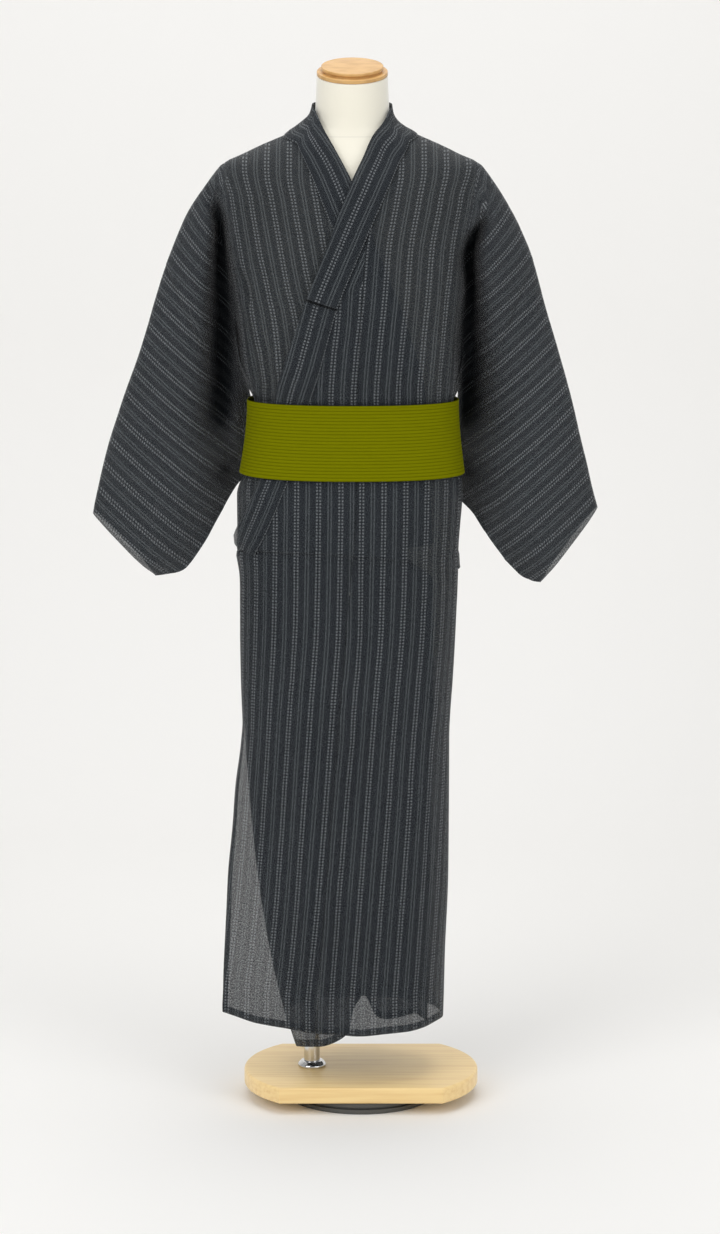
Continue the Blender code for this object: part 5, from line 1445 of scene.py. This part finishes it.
class YukataPanels(bpy.types.Operator):
    """Cuts and hangs both body panels and both overlap panels"""

    bl_idname = "yukata.panels"
    bl_label = "Hang the panels"

    def execute(self, context):
        sizes, thick = sizes_now(), sizes_now().cloth
        right, right_shape = body_panel(
            -1, sizes, RIGHT_SEAM, RIGHT_LEG, RIGHT_ARM, RIGHT_SLEEVE_SEAM, trunk, under_hem,
            RIGHT_STRIPE, RIGHT_SLEEVE_START)
        right_front = okumi_cloth(-1, sizes, right_okumi_edge, RIGHT_EDGE_FREE, RIGHT_SEAM, trunk,
                                  under_hem, RIGHT_OKUMI_STRIPE)
        right_side = [right.tree(thick), right_front.tree(thick)]
        columns = sizes.collar_columns
        path = leg_path(RIGHT_LEG, -1, np.arange(RIGHT_ROWS * LEG_STEPS + 1) / LEG_STEPS)
        band = band_cloth(band_points(path, trunk, columns))
        settle(band, (len(path), columns + 1), right_side, sizes.layer_gap)
        over = Cloth(band.points + band.normals() * PLY, band.faces, band.uv)
        covered = over.faces.max(axis=1) < (OVER_COLLAR_ROWS * LEG_STEPS + 1) * (columns + 1)
        right_side += [band.tree(thick), over.part(covered).tree(thick)]
        left, left_shape = body_panel(
            1, sizes, LEFT_SEAM, LEFT_LEG, LEFT_ARM, LEFT_SLEEVE_SEAM, outer_front, outer_hem,
            LEFT_STRIPE, LEFT_SLEEVE_START, right_side)
        left_front = okumi_cloth(1, sizes, left_okumi_edge, LEFT_EDGE_FREE, LEFT_SEAM,
                                 outer_front, outer_hem, LEFT_OKUMI_STRIPE, right_side)
        for name, cloth, shape in (("right", right, right_shape), ("left", left, left_shape)):
            CLOTHS[name + " trunk"] = cloth.part(cloth.faces.max(axis=1) < shape[0] * shape[1])
        CLOTHS.update({"right band": band, "right": right, "left": left,
                       "left okumi": left_front})
        body, front = ((0.37, 2.78), 0.66), ((0.15, 1.24), 0.17)
        for name, cloth, node_name, (flat, area) in (
                ("left_body_cloth", left, "left_body_panel", body),
                ("right_body_cloth", right, "right_body_panel", body),
                ("left_okumi_cloth", left_front, "left_okumi", front),
                ("right_okumi_cloth", right_front, "right_okumi", ((0.15, 1.24), 0.15))):
            cloth_piece(name, cloth, node_name, flat, area=area)
        return {"FINISHED"}


class YukataSleeves(bpy.types.Operator):
    """Sews both sleeves' bags to the panels' wings"""

    bl_idname = "yukata.sleeves"
    bl_label = "Sew the sleeves"

    def execute(self, context):
        for side, arm, seam, node_name, start in (
                (1, LEFT_ARM, LEFT_SLEEVE_SEAM, "left_sleeve", LEFT_SLEEVE_START),
                (-1, RIGHT_ARM, RIGHT_SLEEVE_SEAM, "right_sleeve", RIGHT_SLEEVE_START)):
            cloth = sleeve_cloth(side, sizes_now(), arm, seam, start)
            cloth_piece(node_name + "_cloth", cloth, node_name, (0.40, 0.50), 0.175)
        return {"FINISHED"}


class YukataCollar(bpy.types.Operator):
    """Sews the long collar and the over-collar on it"""

    bl_idname = "yukata.collar"
    bl_label = "Sew the collar"

    def execute(self, context):
        sizes, thick = sizes_now(), sizes_now().cloth
        columns = sizes.collar_columns
        left_rows = np.arange(LEFT_ROWS * LEG_STEPS + 1) / LEG_STEPS
        path = np.concatenate([leg_path(LEFT_LEG, 1, left_rows)[::-1], neck_path(NECK_STEPS)])
        points = band_points(path, trunk, columns)
        on_front = len(left_rows)
        points[:on_front] = band_points(path[:on_front], outer_front, columns)
        upper = band_cloth(points)
        under = [CLOTHS[name].tree(thick) for name in ("right", "left", "left okumi")]
        settle(upper, points.shape[:2], under, sizes.layer_gap * 2)
        joined = np.concatenate([upper.points, CLOTHS["right band"].points])
        rows = len(joined) // (columns + 1)
        collar = band_cloth(joined.reshape(rows, columns + 1, 3))
        start = (LEFT_ROWS - OVER_COLLAR_ROWS) * LEG_STEPS
        first = start * (columns + 1)
        last = (len(path) + OVER_COLLAR_ROWS * LEG_STEPS + 1) * (columns + 1)
        covered = (collar.faces.min(axis=1) >= first) & (collar.faces.max(axis=1) < last)
        from_end = np.arange(rows) - start
        raised = OVER_COLLAR_LIFT * np.exp(-((from_end / OVER_COLLAR_RISE) ** 2))
        lift = OVER_COLLAR_PLY + raised
        over = Cloth(collar.points + collar.normals() * np.repeat(lift, columns + 1)[:, None],
                     collar.faces, collar.uv).part(covered)
        over = self.folded_end(over, collar, first, columns + 1)
        CLOTHS["collar"] = collar
        cloth_piece("collar_cloth", collar, "collar", (0.047, 2.05))
        # the folded end's turned-in rows get a painted shadow, the dark line under the end
        lip = range(len(over.points) - 2 * (columns + 1), len(over.points))
        cloth_piece("over_collar_cloth", over, "over_collar", (0.047, 1.10), dark=lip)
        return {"FINISHED"}

    @staticmethod
    def folded_end(over, collar, first, count):
        """Turns the over-collar's lower end in, down to the collar under it."""
        end = np.arange(first, first + count)
        normals = collar.normals()[end]
        down = collar.points[end] - collar.points[end + count]
        down /= np.linalg.norm(down, axis=1)[:, None]
        lip = over.points[end] + down * END_DOWN - normals * END_IN
        low = collar.points[end] + normals * FOLD_CLEAR + down * FOLD_LIP
        new = len(over.points) + np.arange(2 * count).reshape(2, count)
        corners, places = [], {}
        for face, spots in zip(over.faces, over.uv):
            places.update(zip(face.tolist(), spots.tolist()))
        lines = [end, new[0], new[1]]
        for a, b in zip(lines, lines[1:]):
            corners.append(np.stack([a[:-1], a[1:], b[1:], b[:-1]], axis=1))
        faces = np.concatenate(corners)
        at = np.array([places[n] for n in end.tolist()])
        uv = np.concatenate([np.stack([at[:-1], at[1:], at[1:], at[:-1]], axis=1)] * 2)
        if np.cross(*(over.points[over.faces[0][i]] - over.points[over.faces[0][0]]
                      for i in (1, 2))) @ normals[0] < 0:
            faces, uv = faces[:, ::-1], uv[:, ::-1]
        points = np.concatenate([over.points, lip, low])
        return Cloth(points, np.concatenate([over.faces, faces]), np.concatenate([over.uv, uv]))


def open_tree(name, shape, numbers, material):
    """A node tree that takes a shape, some numbers and a material, and its inputs' sockets."""
    tree = bpy.data.node_groups.new(name, "GeometryNodeTree")
    face = tree.interface
    face.new_socket(shape, in_out="INPUT", socket_type="NodeSocketGeometry")
    for label, value in numbers.items():
        socket = face.new_socket(label, in_out="INPUT", socket_type="NodeSocketFloat")
        socket.default_value = value
    face.new_socket(material, in_out="INPUT", socket_type="NodeSocketMaterial")
    face.new_socket("Geometry", in_out="OUTPUT", socket_type="NodeSocketGeometry")
    return tree, node(tree, "NodeGroupInput").outputs


def close_tree(tree, shape, material):
    """Ends a node tree: its instances made real, in their material."""
    real = node(tree, "GeometryNodeRealizeInstances", [(0, shape)])
    dyed = node(tree, "GeometryNodeSetMaterial",
                [("Geometry", real.outputs[0]), ("Material", material)])
    node(tree, "NodeGroupOutput", [(0, dyed.outputs[0])])
    return tree


def rib_tree():
    """A node tree that raises ribs along a strip: each row's share across is its attribute."""
    tree, given = open_tree("woven ribs", "Strip", {"Ribs": 23.0, "Rib height": 0.001}, "Weave")
    across = node(tree, "GeometryNodeInputNamedAttribute", [("Name", "across")],
                  data_type="FLOAT").outputs["Attribute"]
    turn = maths(tree, "MULTIPLY", maths(tree, "MULTIPLY", across, given["Ribs"]), pi)
    crown = maths(tree, "POWER", maths(tree, "ABSOLUTE", maths(tree, "SINE", turn)), 0.7)
    lift = maths(tree, "MULTIPLY", crown, given["Rib height"])
    normal = node(tree, "GeometryNodeInputNormal").outputs[0]
    offset = node(tree, "ShaderNodeVectorMath", [(0, normal)], operation="SCALE")
    tree.links.new(lift, offset.inputs["Scale"])
    moved = node(tree, "GeometryNodeSetPosition",
                 [("Geometry", given["Strip"]), ("Offset", offset.outputs[0])])
    return close_tree(tree, moved.outputs[0], given["Weave"])


def use_tree(obj, tree, values):
    """Puts a node tree on an object and sets its inputs by their identifiers."""
    modifier = obj.modifiers.new(tree.name, "NODES")
    modifier.node_group = tree
    for item in tree.interface.items_tree:
        if item.in_out == "INPUT" and item.name in values:
            modifier[item.identifier] = values[item.name]


class YukataObi(bpy.types.Operator):
    """Winds the ribbed obi once round the waist and laps it at the back"""

    bl_idname = "yukata.obi"
    bl_label = "Wind the obi"

    def execute(self, context):
        sizes = sizes_now()
        rows, steps = sizes.obi_ribs * RIB_ROWS, OBI_STEPS
        start, end = -pi - OBI_END, pi - OBI_END + OBI_LAP / OBI_RADIUS
        angle = np.linspace(start, end, steps + 1)[:, None] + np.zeros((1, rows + 1))
        share = np.arange(rows + 1)[None] / rows
        height = OBI_BOTTOM + (OBI_TOP - OBI_BOTTOM) * share + 0 * angle
        turn = (angle + pi) % (2 * pi) - pi
        over = smooth((angle - (pi - OBI_CLIMB)) / OBI_CLIMB_RUN) * OBI_OVER
        beside = smooth((OBI_SIDE - np.abs(turn)) / OBI_SIDE_RUN)
        out = PLY * (OBI_LAYERS_BACK + OBI_LAYERS_SIDE * beside)
        points = trunk(height, turn, out + over)
        flat = points.reshape(-1, 3)
        uv = np.stack([angle * OBI_TURN, height - OBI_BOTTOM], axis=-1).reshape(-1, 2)
        faces = grid_faces(steps + 1, rows + 1)
        strip = Cloth(flat, faces, uv[faces])
        robe = ("right trunk", "left trunk", "left okumi", "collar")
        under = [CLOTHS[name].tree(sizes.cloth) for name in robe]
        self.rest_on(strip, points.shape[:2], under)
        weave = ribbed_obi()
        mesh = mesh_of("obi_ribbed", strip.points, faces, strip.uv)
        attribute = mesh.attributes.new("across", "FLOAT", "POINT")
        attribute.data.foreach_set("value", np.broadcast_to(share, angle.shape).ravel())
        obj = bpy.data.objects.new("obi_ribbed", mesh)
        use_tree(obj, rib_tree(), {"Ribs": float(sizes.obi_ribs),
                                   "Rib height": sizes.rib_height, "Weave": weave})
        wall = obj.modifiers.new("thickness", "SOLIDIFY")
        wall.thickness, wall.offset = OBI_WALL, 1.0
        piece = finished(obj, weave)
        place_piece(piece, "obi_weave", "obi")
        return {"FINISHED"}

    @staticmethod
    def rest_on(strip, shape, under):
        """Moves the strip out over the robe's layers, evenly from edge to edge."""
        gap = sizes_now().layer_gap
        normals, push = push_clear(strip, len(strip.points), under, gap, OBI_LOOK)
        rows = push.reshape(shape).max(axis=1)
        for _ in range(4):
            wide = np.pad(rows, 1, mode="edge")
            rows = np.maximum(rows, (wide[:-2] + wide[2:]) / 2)
        strip.points += normals * np.repeat(rows, shape[1])[:, None]


def turned_piece(name, profile, place, material, slot, node_name, steps=96, tilt=0.0):
    """A turned piece: a profile spun round its axis, with its edges as the profile has them."""
    mesh = bpy.data.meshes.new(name)
    edges = [(i, i + 1) for i in range(len(profile) - 1)]
    mesh.from_pydata([(radius, 0.0, height) for radius, height in profile], edges, [])
    obj = bpy.data.objects.new(name, mesh)
    obj.matrix_world = Matrix.Translation(place) @ Matrix.Rotation(tilt, 4, "X")
    screw = obj.modifiers.new("turn", "SCREW")
    screw.steps = screw.render_steps = steps
    screw.use_merge_vertices, screw.merge_threshold = True, 0.00005
    piece = finished(obj, material)
    piece.data.shade_smooth()
    piece.data.set_sharp_from_angle(angle=radians(42))
    place_piece(piece, slot, node_name)
    return piece


def rounded(corners, radius, steps=5):
    """A profile with its inner corners rounded; the first and last points stay."""
    points = [corners[0]]
    for before, corner, after in zip(corners, corners[1:], corners[2:]):
        here = Vector(corner)
        back, on = Vector(before) - here, Vector(after) - here
        reach = min(radius, back.length * 0.45, on.length * 0.45)
        start, end = here + back.normalized() * reach, here + on.normalized() * reach
        for i in range(steps + 1):
            t = i / steps
            spot = start * (1 - t) ** 2 + here * 2 * t * (1 - t) + end * t**2
            points.append(tuple(spot))
    return points + [corners[-1]]


class YukataForm(bpy.types.Operator):
    """Covers the dress form and turns its wooden neck cap"""

    bl_idname = "yukata.form"
    bl_label = "Make the form"

    def execute(self, context):
        around = FORM_AROUND
        heights = np.concatenate([np.linspace(FORM_BOTTOM, SHOULDER_TOP, FORM_ROWS),
                                  np.linspace(SHOULDER_TOP + FORM_STEP, NECK_START, NECK_ROWS)])
        angle = np.arange(around)[None] * 2 * pi / around
        rings = on_section(FORM, heights[:, None], angle + 0 * heights[:, None])
        neck = on_section(FORM, NECK_START + 0 * angle, angle)[0]
        top = []
        for lean in np.linspace(0, 1, TOP_ROWS)[1:]:
            ring = neck.copy()
            ring[:, 0] = NECK_CENTRE + (neck[:, 0] - NECK_CENTRE) * (1 - NECK_TAPER * lean)
            ring[:, 1] = neck[:, 1] * (1 - NECK_TAPER * lean)
            tilt = tan(NECK_TILT) * ring[:, 1] * lean
            ring[:, 2] = NECK_START + (NECK_TOP - CAP_GAP - NECK_START) * lean + tilt
            top.append(ring)
        points = np.concatenate([rings.reshape(-1, 3), np.concatenate(top)])
        count = len(points) // around
        faces = []
        for i in range(count - 1):
            first = np.arange(around) + i * around
            faces += ring_faces(first, first + around)[:, ::-1].tolist()
        faces.append(list(range(around - 1, -1, -1)))
        faces.append(list(range((count - 1) * around, count * around)))
        mesh = mesh_of("covered_form", points, faces)
        fixed = bmesh.new()
        fixed.from_mesh(mesh)
        bmesh.ops.recalc_face_normals(fixed, faces=fixed.faces)
        fixed.to_mesh(mesh)
        fixed.free()
        mesh.shade_smooth()
        mesh.set_sharp_from_angle(angle=radians(50))
        piece = finished(bpy.data.objects.new("covered_form", mesh), form_jersey())
        place_piece(piece, "form_cover", "dress_form")
        wood = planed_wood("turned lacquered beech", "cap_light", "cap_dark", (0.3, 1.0, 1.0),
                           0.008)
        low, high, disc = CAP_RADIUS, CAP_UPPER_RADIUS, CAP_DISC
        cut = high - CAP_GROOVE
        profile = rounded([(0.0, 2 * disc), (high, 2 * disc), (high, 1.35 * disc),
                           (cut, 1.1 * disc), (cut, 0.85 * disc), (low, 0.85 * disc),
                           (low, 0.0), (0.0, 0.0)], 0.0016)
        turned_piece("turned_neck_cap", profile, (NECK_CENTRE, 0.0, NECK_TOP), wood, "cap_wood",
                     "neck_cap", tilt=NECK_TILT)
        return {"FINISHED"}


class YukataStand(bpy.types.Operator):
    """Makes the chromed pole and its flange, the wooden board and the foot disc"""

    bl_idname = "yukata.stand"
    bl_label = "Make the stand"

    def execute(self, context):
        chrome = bright_chrome()
        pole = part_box("stand_pole")
        middle = (pole[0][0] + pole[1][0]) / 2
        radius, bottom, top = POLE_RADIUS, pole[0][2], pole[1][2]
        profile = [(0.0, top), (radius, top), (radius, bottom), (0.0, bottom)]
        turned_piece("chromed_pole", profile, (middle, 0.0, 0.0), chrome, "polished_steel",
                     "stand_pole", 64)
        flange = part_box("pole_flange")
        rise, wide = flange[1][2] - flange[0][2], FLANGE_RADIUS
        profile = rounded([(0.0, rise), (radius + 0.004, rise), (wide - 0.0015, rise * 0.6),
                           (wide, rise * 0.35), (wide, 0.0), (0.0, 0.0)], 0.0012)
        turned_piece("chromed_flange", profile, (middle, 0.0, flange[0][2]), chrome,
                     "polished_steel", "pole_flange", 64)
        self.board()
        foot, high, deep = FOOT_RADIUS, FOOT_HEIGHT, FOOT_RADIUS - FOOT_GROOVE
        profile = rounded([(0.0, high), (foot, high), (foot, high * 0.6), (deep, high * 0.56),
                           (deep, high * 0.44), (foot, high * 0.4), (foot, 0.0), (0.0, 0.0)],
                          0.0014)
        turned_piece("moulded_foot_disc", profile, (0.0, 0.0, 0.0), moulded_plastic(),
                     "foot_plastic", "foot_disc", 128)
        return {"FINISHED"}

    @staticmethod
    def board():
        """The board: straight front and back edges, round ends and eased corners."""
        rise = (BOARD_WIDTH - BOARD_STRAIGHT) / 2
        radius = ((BOARD_DEPTH / 2) ** 2 + rise**2) / (2 * rise)
        centre = BOARD_WIDTH / 2 - radius
        sweep = atan2(BOARD_DEPTH / 2, BOARD_STRAIGHT / 2 - BOARD_WIDTH / 2 + radius)
        arc = np.linspace(-sweep, sweep, 41)
        outline = [(centre + radius * cos(a), radius * sin(a)) for a in arc]
        outline += [(-x, -y) for x, y in outline]
        shape = bmesh.new()
        face = shape.faces.new([shape.verts.new((x, y, BOARD_BOTTOM)) for x, y in outline])
        raised = bmesh.ops.extrude_face_region(shape, geom=[face])["geom"]
        lifted = [v for v in raised if isinstance(v, bmesh.types.BMVert)]
        bmesh.ops.translate(shape, verts=lifted, vec=(0.0, 0.0, BOARD_THICK))
        bmesh.ops.recalc_face_normals(shape, faces=shape.faces)
        mesh = bpy.data.meshes.new("pine_board")
        shape.to_mesh(mesh)
        shape.free()
        obj = bpy.data.objects.new("pine_board", mesh)
        bevel = obj.modifiers.new("eased edges", "BEVEL")
        bevel.width, bevel.segments = BOARD_EASE, 5
        bevel.limit_method, bevel.angle_limit = "ANGLE", radians(50)
        wood = planed_wood("planed lacquered pine", "wood_light", "wood_dark", (0.05, 1.0, 1.0))
        piece = finished(obj, wood)
        piece.data.shade_smooth()
        piece.data.set_sharp_from_angle(angle=radians(35))
        place_piece(piece, "board_wood", "base_board")


def stitch_tree():
    """A node tree that lays small stitches along a path."""
    numbers = {"Pitch": 0.006, "Length": 0.0025, "Thickness": 0.0006}
    tree, given = open_tree("hand stitches", "Path", numbers, "Thread")
    line = node(tree, "GeometryNodeMeshToCurve", [(0, given["Path"])])
    spots = node(tree, "GeometryNodeResampleCurve",
                 [("Curve", line.outputs[0]), ("Length", given["Pitch"])], mode="LENGTH")
    bead = node(tree, "GeometryNodeMeshIcoSphere", [("Radius", 0.5), ("Subdivisions", 1)])
    size = node(tree, "ShaderNodeCombineXYZ",
                [(0, given["Thickness"]), (1, given["Thickness"]), (2, given["Length"])])
    shaped = node(tree, "GeometryNodeTransform",
                  [("Geometry", bead.outputs[0]), ("Scale", size.outputs[0])])
    tangent = node(tree, "GeometryNodeInputTangent").outputs[0]
    turn = node(tree, "FunctionNodeAlignRotationToVector", [("Vector", tangent)], axis="Z")
    placed = node(tree, "GeometryNodeInstanceOnPoints",
                  [("Points", spots.outputs[0]), ("Instance", shaped.outputs[0]),
                   ("Rotation", turn.outputs[0])])
    return close_tree(tree, placed.outputs[0], given["Thread"])


class YukataStitches(bpy.types.Operator):
    """Sews small stitches along the collar's outer edge"""

    bl_idname = "yukata.stitches"
    bl_label = "Sew the stitches"

    def execute(self, context):
        thread, tree = sewing_thread(), stitch_tree()
        columns = sizes_now().collar_columns + 1
        collar = CLOTHS["collar"]
        lifted = collar.points + collar.normals() * (sizes_now().cloth + STITCH_LIFT)
        grid = lifted.reshape(-1, columns, 3)
        outer_edge = grid[:, -1] * STITCH_EDGE + grid[:, -2] * (1 - STITCH_EDGE)
        mesh = bpy.data.meshes.new("collar_stitches")
        pairs = [(i, i + 1) for i in range(len(outer_edge) - 1)]
        mesh.from_pydata(outer_edge.tolist(), pairs, [])
        obj = bpy.data.objects.new("collar_stitches", mesh)
        use_tree(obj, tree, {"Pitch": sizes_now().stitch_pitch, "Length": STITCH_LENGTH,
                             "Thickness": STITCH_WIDTH, "Thread": thread})
        piece = finished(obj, thread)
        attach(piece, "root")
        return {"FINISHED"}


class YukataStage(bpy.types.Operator):
    """Sets the paper sweep, the soft lights and the camera"""

    bl_idname = "yukata.stage"
    bl_label = "Set the stage"

    def execute(self, context):
        self.paper()
        self.lights(context.scene)
        self.camera(context.scene)
        return {"FINISHED"}

    @staticmethod
    def paper():
        """A floor that sweeps up into a wall well behind."""
        bend = np.linspace(0, pi / 2, BEND_STEPS)[1:]
        profile = [(PAPER_FRONT, 0.0), (PAPER_BEND, 0.0)]
        profile += [(PAPER_BEND + BEND_RADIUS * sin(a), BEND_RADIUS * (1 - cos(a))) for a in bend]
        profile += [(PAPER_BEND + BEND_RADIUS, PAPER_TOP)]
        points = [(x, y, z) for x in (-PAPER_SIDE, PAPER_SIDE) for y, z in profile]
        count = len(profile)
        faces = [(i, count + i, count + i + 1, i + 1) for i in range(count - 1)]
        mesh = mesh_of("paper_sweep", points, faces)
        mesh.materials.append(studio_paper())
        sweep = bpy.data.objects.new("paper_sweep", mesh)
        bpy.context.scene.collection.objects.link(sweep)
        sweep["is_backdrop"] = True

    @staticmethod
    def lights(scene):
        """Soft light from the front and above, a little stronger at the left."""
        lamps = (
            ("key softbox", (-2.6, -3.4, 3.0), 2.6, 66.0),
            ("fill softbox", (3.0, -3.2, 2.2), 2.6, 38.0),
            ("top softbox", (0.0, -0.6, 4.2), 3.0, 46.0),
            ("paper light", (0.0, 0.9, 3.6), 2.5, 16.0),
        )
        for name, place, size, watts in lamps:
            light = bpy.data.lights.new(name, "AREA")
            light.shape, light.size, light.energy = "SQUARE", size, watts
            lamp = bpy.data.objects.new(name, light)
            aim = Vector((0.0, 0.0, 0.9)) - Vector(place)
            lamp.matrix_world = (Matrix.Translation(place)
                                 @ aim.to_track_quat("-Z", "Y").to_matrix().to_4x4())
            scene.collection.objects.link(lamp)
        world = bpy.data.worlds.new("soft room")
        world.use_nodes = True
        sky = world.node_tree.nodes["Background"]
        sky.inputs["Color"].default_value = (1.0, 1.0, 1.0, 1.0)
        sky.inputs["Strength"].default_value = 0.46
        scene.world = world
        scene.view_settings.view_transform = "Standard"

    @staticmethod
    def camera(scene):
        """A long lens a little above the form, pitched down to take in the whole stand."""
        distance, height, pitch, sensor = 5.9, 1.85, radians(10.51), 36.0
        long_side, focal_pixels = 1234, 3923
        lens = bpy.data.cameras.new("camera")
        lens.sensor_fit, lens.sensor_width = "AUTO", sensor
        lens.lens = sensor * focal_pixels / long_side
        camera = bpy.data.objects.new("camera", lens)
        turn = Matrix.Rotation(pi / 2 - pitch, 4, "X")
        camera.matrix_world = Matrix.Translation((-0.0015, -distance, height)) @ turn
        scene.collection.objects.link(camera)
        scene.camera = camera


class YukataPanel(bpy.types.Panel):
    """Lists the steps that make the yukata"""

    bl_idname = "VIEW3D_PT_yukata"
    bl_label = "Yukata"
    bl_space_type = "VIEW_3D"
    bl_region_type = "UI"
    bl_category = "Yukata"

    def draw(self, context):
        layout = self.layout
        for step in STEPS:
            layout.operator(step.bl_idname)
        for group in (context.scene.yukata_sizes, context.scene.yukata_colours):
            box = layout.box()
            for name in group.bl_rna.properties.keys():
                if name not in ("rna_type", "name"):
                    box.prop(group, name)


STEPS = (YukataStage, YukataPanels, YukataSleeves, YukataCollar, YukataObi, YukataForm,
         YukataStand, YukataStitches)
CLASSES = (YukataSizes, YukataColours, *STEPS, YukataPanel)


def register():
    for each in CLASSES:
        bpy.utils.register_class(each)
    bpy.types.Scene.yukata_sizes = PointerProperty(type=YukataSizes)
    bpy.types.Scene.yukata_colours = PointerProperty(type=YukataColours)


def unregister():
    del bpy.types.Scene.yukata_colours
    del bpy.types.Scene.yukata_sizes
    for each in reversed(CLASSES):
        bpy.utils.unregister_class(each)


def main():
    register()
    bpy.ops.yukata.stage()
    bpy.ops.yukata.panels()
    bpy.ops.yukata.sleeves()
    bpy.ops.yukata.collar()
    bpy.ops.yukata.obi()
    bpy.ops.yukata.form()
    bpy.ops.yukata.stand()
    bpy.ops.yukata.stitches()
    boxes = {"cad": CAD_BOX, "visual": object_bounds()}
    plain = {name: [[float(value) for value in corner] for corner in box]
             for name, box in boxes.items()}


if __name__ == "__main__":
    main()
